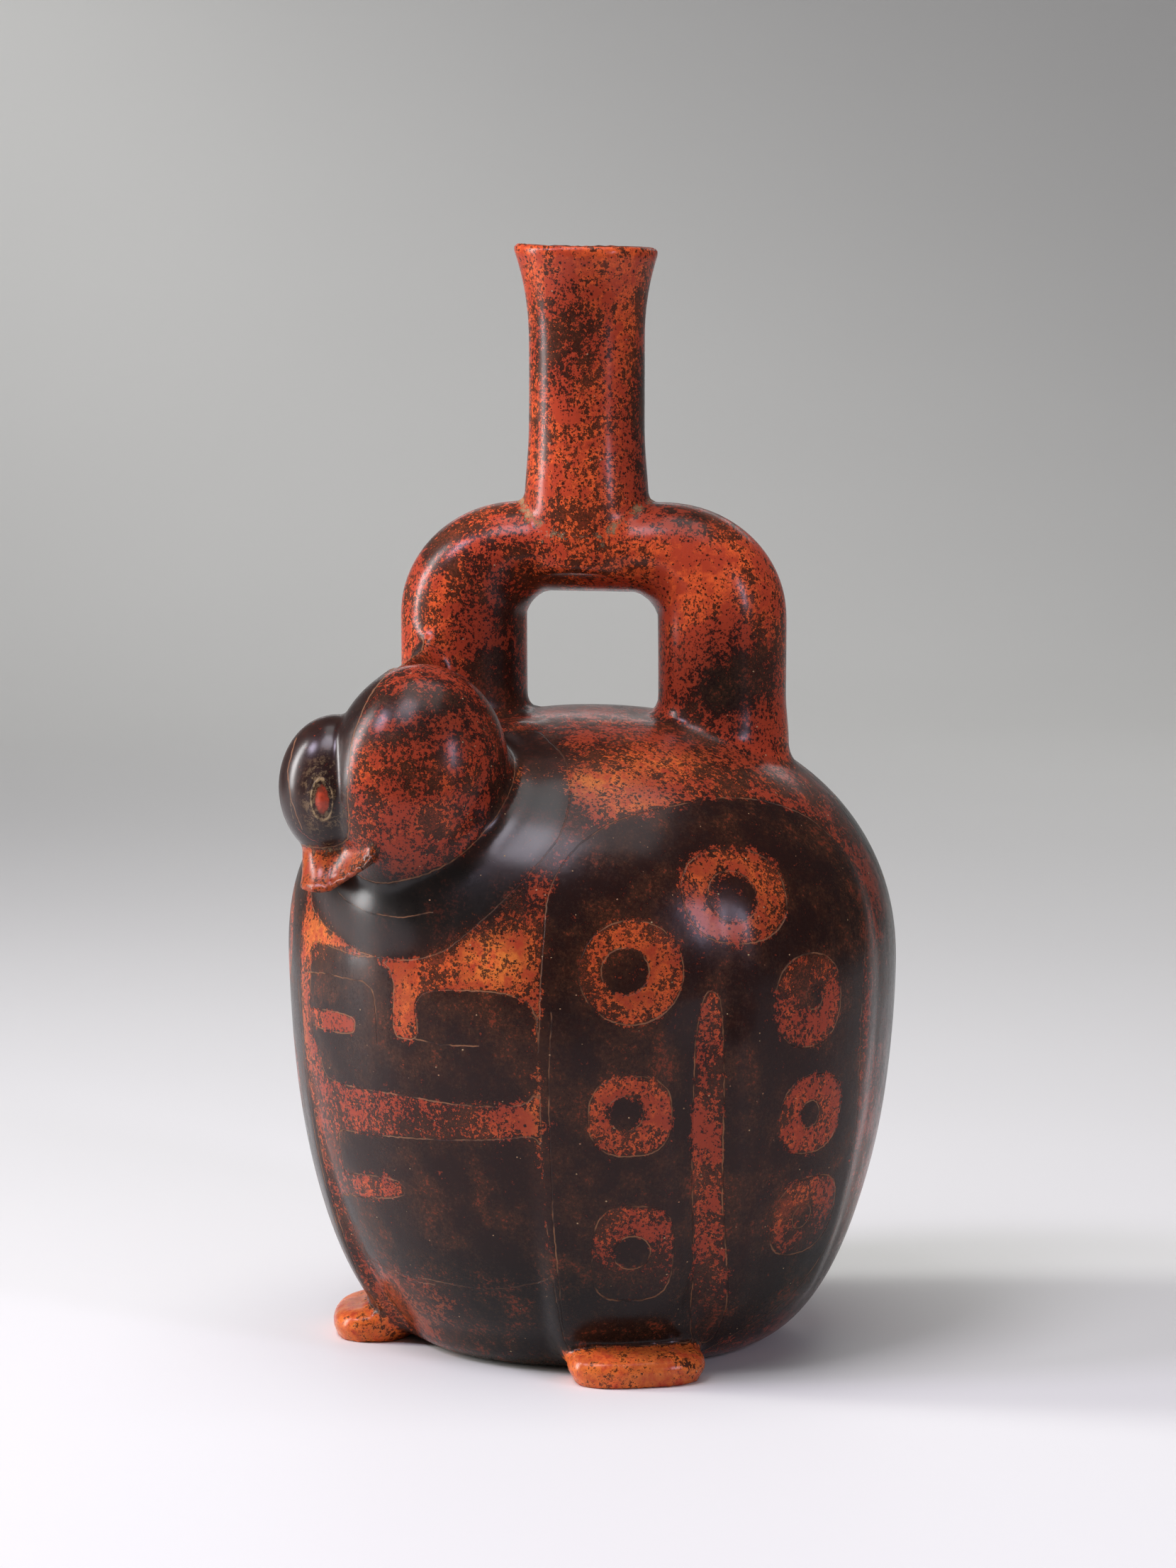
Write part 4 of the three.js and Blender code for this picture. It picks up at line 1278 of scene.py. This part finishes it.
def painted_eyes(skin, on, noise, tones, colour):
    """The eyes: pale dust round a thin pale ring with a red middle."""
    level = (on.eye_across * on.eye_across + on.eye_rise * on.eye_rise).root() + (noise.fine - 0.5) * 0.16
    dust = (1 - skin.step(level, 1.1, 2.6)) * skin.step(noise.fine + (noise.medium - 0.5) * 0.9, 0.5, 0.64)
    colour = skin.blend(dust * 0.3, colour, tones.crust)
    pupil = 1 - skin.step(level + abs(on.eye_across) * 0.14 + (noise.medium - 0.5) * 0.3, 0.60, 0.76)
    red = skin.blend(skin.step(noise.medium, 0.4, 0.6), tones.red_slip, tones.eye_shade)
    colour = skin.blend(pupil, colour, red)
    ring = skin.step(level, 0.84, 0.92) * (1 - skin.step(level, 0.96, 1.06))
    left = skin.step(noise.medium + (noise.fine - 0.5) * 0.8, 0.38, 0.6)
    return skin.blend(ring * left * 0.85, colour, tones.crust), ring


def burnished_finish(tones):
    """Red and dark burnished slip with incised lines, speckle, rubbed places and crusts."""
    skin = Finish("burnished_slip_painted")
    at = skin.place()
    on = SimpleNamespace(**{name: skin.kept(name) for name in KEPT})
    noise = SimpleNamespace(
        fine=skin.noise(at, 0.85, 4, 0.8),
        medium=skin.noise(at, 2.9, 5, 0.7),
        broad=skin.noise(at, 11, 4, 0.6),
        wide=skin.noise(at, 38, 2, 0.5),
        strokes=skin.noise(skin.place((1, 1, 0.16)), 3.0, 3, 0.6))
    colour = slip_colour(skin, on, noise, tones, *slip_cover(skin, at, on, noise))
    line, pale = incised_lines(skin, at, on, tones)
    colour = skin.blend(pale, colour, tones.clay)
    colour, ring = painted_eyes(skin, on, noise, tones, colour)
    settled = on.crust + (noise.fine - 0.5) * 0.9 + (noise.medium - 0.5) * 1.5 + (noise.broad - 0.5) * 1.2
    settled = skin.step(settled, 0.55, 0.85)
    colour = skin.blend(settled * 0.55, colour, tones.crust)

    dull = 0.27 + (noise.fine - 0.5) * 0.3 + (noise.broad - 0.5) * 0.2 + (noise.strokes - 0.5) * 0.22
    dull = dull + on.rubbed * 0.16 + on.gloss * 0.06 + settled * 0.35 + line * 0.15 + on.hollow * 0.4
    height = settled * 0.08 + ring * 0.12 - line * (tones.line_depth / MILLI)
    for wide, high in ((1.3, 0.022), (4.5, 0.07), (12, 0.2)):
        height = height + (skin.noise(at, wide, 1) - 0.5) * high
    values = {"Strength": 1.0, "Distance": MILLI, "Height": height}
    raised = skin.node("ShaderNodeBump", {}, values)["Normal"]
    return skin.shaded({
        "Base Color": colour,
        "Roughness": dull.most(0.14).least(0.95),
        "Coat Weight": (0.15 + on.gloss * 0.30 - settled * 0.2 - on.hollow * 0.2).most(0.0),
        "Coat Roughness": 0.2,
        "Specular IOR Level": 0.13,
        "Specular Tint": (1.0, 0.88, 0.90, 1.0),
        "Normal": raised,
    })


def grain_finish(tones):
    """Pale grains of temper."""
    skin = Finish("temper_grains")
    at = skin.place()
    colour = skin.blend(skin.step(skin.noise(at, 4, 1), 0.35, 0.65), tones.crust, tones.clay)
    return skin.shaded({"Base Color": colour, "Roughness": 0.6 + (skin.noise(at, 0.3, 1) - 0.5) * 0.3})


def grain_tree(finish):
    """Scatters small grains, half sunk, over a surface where its kept number grain_bed allows."""
    tree = bpy.data.node_groups.new("scattered_grains", "GeometryNodeTree")
    for name, kind in (
            ("Surface", "NodeSocketGeometry"), ("Density", "NodeSocketFloat"),
            ("Largest Radius", "NodeSocketFloat"), ("Seed", "NodeSocketInt")):
        tree.interface.new_socket(name, in_out="INPUT", socket_type=kind)
    tree.interface.new_socket("Grains", in_out="OUTPUT", socket_type="NodeSocketGeometry")
    nodes = Nodes(tree)
    given = nodes.node("NodeGroupInput", {}, {})
    number = {"data_type": "FLOAT"}
    bed = nodes.node("GeometryNodeInputNamedAttribute", number, {"Name": "grain_bed"})["Attribute"]
    values = {"Mesh": given["Surface"], "Density": given["Density"] * bed, "Seed": given["Seed"]}
    spots = nodes.node("GeometryNodeDistributePointsOnFaces", {"distribute_method": "RANDOM"}, values)
    ball = nodes.node("GeometryNodeMeshIcoSphere", {}, {"Radius": 1.0, "Subdivisions": 1})["Mesh"]
    half_sunk = {"Geometry": ball, "Translation": (0, 0, -0.5)}
    sunk = nodes.node("GeometryNodeTransform", {}, half_sunk)["Geometry"]
    values = {"Min_001": 0.35, "Max_001": 1.0, "Seed": given["Seed"]}
    radius = nodes.node("FunctionNodeRandomValue", number, values)["Value_001"] * given["Largest Radius"]
    values = {"X": radius, "Y": radius * 0.8, "Z": radius * 0.35}
    scale = nodes.node("ShaderNodeCombineXYZ", {}, values)["Vector"]
    values = {"Points": spots["Points"], "Instance": sunk, "Rotation": spots["Rotation"], "Scale": scale}
    grains = nodes.node("GeometryNodeInstanceOnPoints", {}, values)["Instances"]
    solid = nodes.node("GeometryNodeRealizeInstances", {}, {"Geometry": grains})["Geometry"]
    values = {"Geometry": solid, "Shade Smooth": True}
    smooth = nodes.node("GeometryNodeSetShadeSmooth", {}, values)["Geometry"]
    values = {"Geometry": smooth, "Material": finish}
    painted = nodes.node("GeometryNodeSetMaterial", {}, values)["Geometry"]
    nodes.node("NodeGroupOutput", {}, {"Grains": painted})
    return tree


def floor_finish(tone):
    """Plain pale paint with the faintest mottling."""
    skin = Finish("pale_floor")
    at = skin.place()
    shade = tuple(part * 0.96 for part in tone)
    return skin.shaded({"Base Color": skin.blend(skin.noise(at, 240, 1), tone, shade), "Roughness": 0.55})


class STIRRUPVESSEL_OT_vessel(bpy.types.Operator):
    """Builds the hollow vessel from its sizes and paints it"""

    bl_idname = "stirrup_vessel.vessel"
    bl_label = "Vessel"

    def execute(self, context):
        size = sizes(context, BodySizes, LegSizes, StirrupSizes, HeadSizes, MeshDetail)
        clay = Clay(size)
        shift = middle_shift(size)
        low = np.array(cad_low) / MILLI - shift
        high = np.array(cad_high) / MILLI - shift
        points, faces = clay_mesh(clay, low, high, size.cell)
        mesh = quad_mesh("vessel_clay", points, faces)
        finer_where(mesh, clay.fine_places(points))
        points = drawn_on(clay, mesh_points(mesh), 2)
        mesh.vertices.foreach_set("co", points.astype(np.float32).ravel())
        mesh = thinned(mesh, clay.hollow(points) < INSIDE_SKIN, INSIDE_SHARE)
        points = mesh_points(mesh)
        fields = Paint(clay, points).fields()
        piece = placed_piece("vessel_clay", mesh, points, shift)
        mesh.calc_loop_triangles()
        if len(mesh.loop_triangles) >= LARGEST_PIECE:
            raise RuntimeError("the vessel's mesh has too many faces")
        for name, values in fields.items():
            keep_on(piece.data, name, values)
        piece.data.materials.append(burnished_finish(settings(context, SlipColours)))
        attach(piece, "root")
        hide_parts(NODE)
        return {"FINISHED"}


class STIRRUPVESSEL_OT_grains(bpy.types.Operator):
    """Scatters grains of temper in the vessel's skin"""

    bl_idname = "stirrup_vessel.grains"
    bl_label = "Temper Grains"

    def execute(self, context):
        vessel = bpy.data.objects.get("vessel_clay")
        if vessel is None:
            raise RuntimeError("the vessel has to be built before its grains")
        detail = settings(context, MeshDetail)
        tree = grain_tree(grain_finish(settings(context, SlipColours)))
        bed = linked("grain_bed", vessel.data.copy())
        modifier = bed.modifiers.new("grains", "NODES")
        modifier.node_group = tree
        square_metre = 1e4  # square centimetres
        given = {
            "Density": detail.grains * square_metre, "Largest Radius": detail.grain_radius, "Seed": detail.seed}
        for item in tree.interface.items_tree:
            if item.in_out == "INPUT" and item.name in given:
                modifier[item.identifier] = given[item.name]
        mesh = evaluated_mesh(bed)
        if not mesh.polygons:
            raise RuntimeError("no grains were scattered")
        piece = linked("temper_grains", mesh)
        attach(piece, "root")
        return {"FINISHED"}


def studio_sweep(held):
    """A floor that curves up into a backdrop behind the vessel, in metres from the frame's middle."""
    front, bend, curve, top, half_width, steps = -0.42, 1.4, 0.9, 4.0, 3.5, 12
    back = -camera_way(held)
    across = Vector((-back.y, back.x, 0))
    line = [(front, 0.0), (bend, 0.0)]
    for i in range(1, steps + 1):
        angle = math.pi / 2 * i / steps
        line.append((bend + curve * math.sin(angle), curve * (1 - math.cos(angle))))
    line.append((bend + curve, top))
    points = []
    for out, up in line:
        for share in (-half_width, half_width):
            points.append(back * out + across * share + Vector((0, 0, up)))
    faces = [(2 * i, 2 * i + 1, 2 * i + 3, 2 * i + 2) for i in range(len(line) - 1)]
    mesh = bpy.data.meshes.new("studio_sweep")
    mesh.from_pydata(points, [], faces)
    mesh.polygons.foreach_set("use_smooth", [True] * len(faces))
    return linked("studio_sweep", mesh)


def camera_way(held):
    """The level way from the vessel to the camera."""
    return Vector((math.sin(held.eye_side), -math.cos(held.eye_side), 0))


def soft_light(name, place, target, width, height, power, tone, spread=180):
    """A rectangular light. A smaller spread, in degrees, keeps its light closer to the way it looks."""
    lamp = bpy.data.lights.new(name, "AREA")
    lamp.shape = "RECTANGLE"
    lamp.size, lamp.size_y = width, height
    lamp.energy = power
    lamp.color = tone
    lamp.spread = math.radians(spread)
    piece = linked(name, lamp)
    piece.location = place
    piece.rotation_euler = (Vector(target) - Vector(place)).to_track_quat("-Z", "Y").to_euler()


WHITE = (1, 1, 1)
VIOLET = (0.84, 0.77, 1.0)
PALE_VIOLET = (0.90, 0.86, 1.0)

# Lights: name, degrees turned from the camera's side and raised above the floor, distance, width and
# height in metres, the setting that holds the power, share of that power, tone and spread
LAMPS = (
    ("key_light", -96, 17, 1.6, 0.3, 1.4, "key_power", 1, WHITE, 80),
    ("upper_spot", -70, 42, 1.0, 0.2, 0.2, "spot_power", 1, VIOLET, 180),
    ("side_spot", 44, 17, 1.0, 0.1, 0.3, "spot_power", 0.7, VIOLET, 180),
    ("front_light", -38, 60, 1.0, 0.36, 0.36, "top_power", 1, PALE_VIOLET, 180),
    ("floor_light", 0, 84, 1.2, 0.9, 0.9, "floor_power", 1, WHITE, 180),
)
AIM_HEIGHT = 0.12
SKY_TONE = (0.95, 0.95, 0.93, 1)


class STIRRUPVESSEL_OT_stage(bpy.types.Operator):
    """Sets up the pale floor, the soft light and the camera"""

    bl_idname = "stirrup_vessel.stage"
    bl_label = "Stage"

    def execute(self, context):
        held = settings(context, StageSettings)
        sweep = studio_sweep(held)
        sweep.data.materials.append(floor_finish(tuple(held.floor_tint)))

        up = Vector((0, 0, 1))
        toward = camera_way(held)
        right = Vector((-toward.y, toward.x, 0))
        middle = Vector(middle_shift(sizes(context, BodySizes)) * MILLI)
        aim = middle + up * AIM_HEIGHT
        for name, turned, raised, distance, width, height, power, share, tone, spread in LAMPS:
            turned, raised = math.radians(turned), math.radians(raised)
            way = (toward * math.cos(turned) + right * math.sin(turned)) * math.cos(raised)
            place = aim + (way + up * math.sin(raised)) * distance
            soft_light(name, place, aim, width, height, getattr(held, power) * share, tone, spread)
        behind = middle - toward * 1.5
        soft_light("back_light", behind + up * 0.7, behind, 1.6, 0.3, held.back_power, WHITE)
        world = bpy.data.worlds.new("studio_air")
        world.use_nodes = True
        air = world.node_tree.nodes["Background"].inputs
        air["Color"].default_value = SKY_TONE
        air["Strength"].default_value = held.sky
        context.scene.world = world
        context.scene.view_settings.view_transform = "Standard"

        eye = linked("camera", bpy.data.cameras.new("camera"))
        eye.data.lens = held.lens
        eye.data.sensor_width = 36
        eye.location = middle + toward * held.eye_distance - right * held.eye_offset + up * held.eye_height
        look = -toward * math.cos(held.eye_dip) - up * math.sin(held.eye_dip)
        eye.rotation_euler = look.to_track_quat("-Z", "Y").to_euler()
        context.scene.camera = eye
        return {"FINISHED"}


class STIRRUPVESSEL_PT_panel(bpy.types.Panel):
    """Lists the vessel's sizes, colours and steps"""

    bl_idname = "STIRRUPVESSEL_PT_panel"
    bl_label = "Stirrup Spout Vessel"
    bl_space_type = "VIEW_3D"
    bl_region_type = "UI"
    bl_category = "Vessel"

    def draw(self, context):
        for operator in OPERATORS:
            self.layout.operator(operator.bl_idname)
        for group in GROUPS:
            held = settings(context, group)
            box = self.layout.box()
            box.label(text=group.__name__)
            for name in group.__annotations__:
                box.prop(held, name)


OPERATORS = (STIRRUPVESSEL_OT_vessel, STIRRUPVESSEL_OT_grains, STIRRUPVESSEL_OT_stage)
CLASSES = (*GROUPS, *OPERATORS, STIRRUPVESSEL_PT_panel)


def register():
    for kind in CLASSES:
        bpy.utils.register_class(kind)
    for group, name in SETTINGS.items():
        setattr(bpy.types.Scene, name, PointerProperty(type=group))


def unregister():
    for name in SETTINGS.values():
        delattr(bpy.types.Scene, name)
    for kind in reversed(CLASSES):
        bpy.utils.unregister_class(kind)


def main():
    register()
    bpy.ops.stirrup_vessel.vessel()
    bpy.ops.stirrup_vessel.grains()
    bpy.ops.stirrup_vessel.stage()


if __name__ == "__main__":
    main()
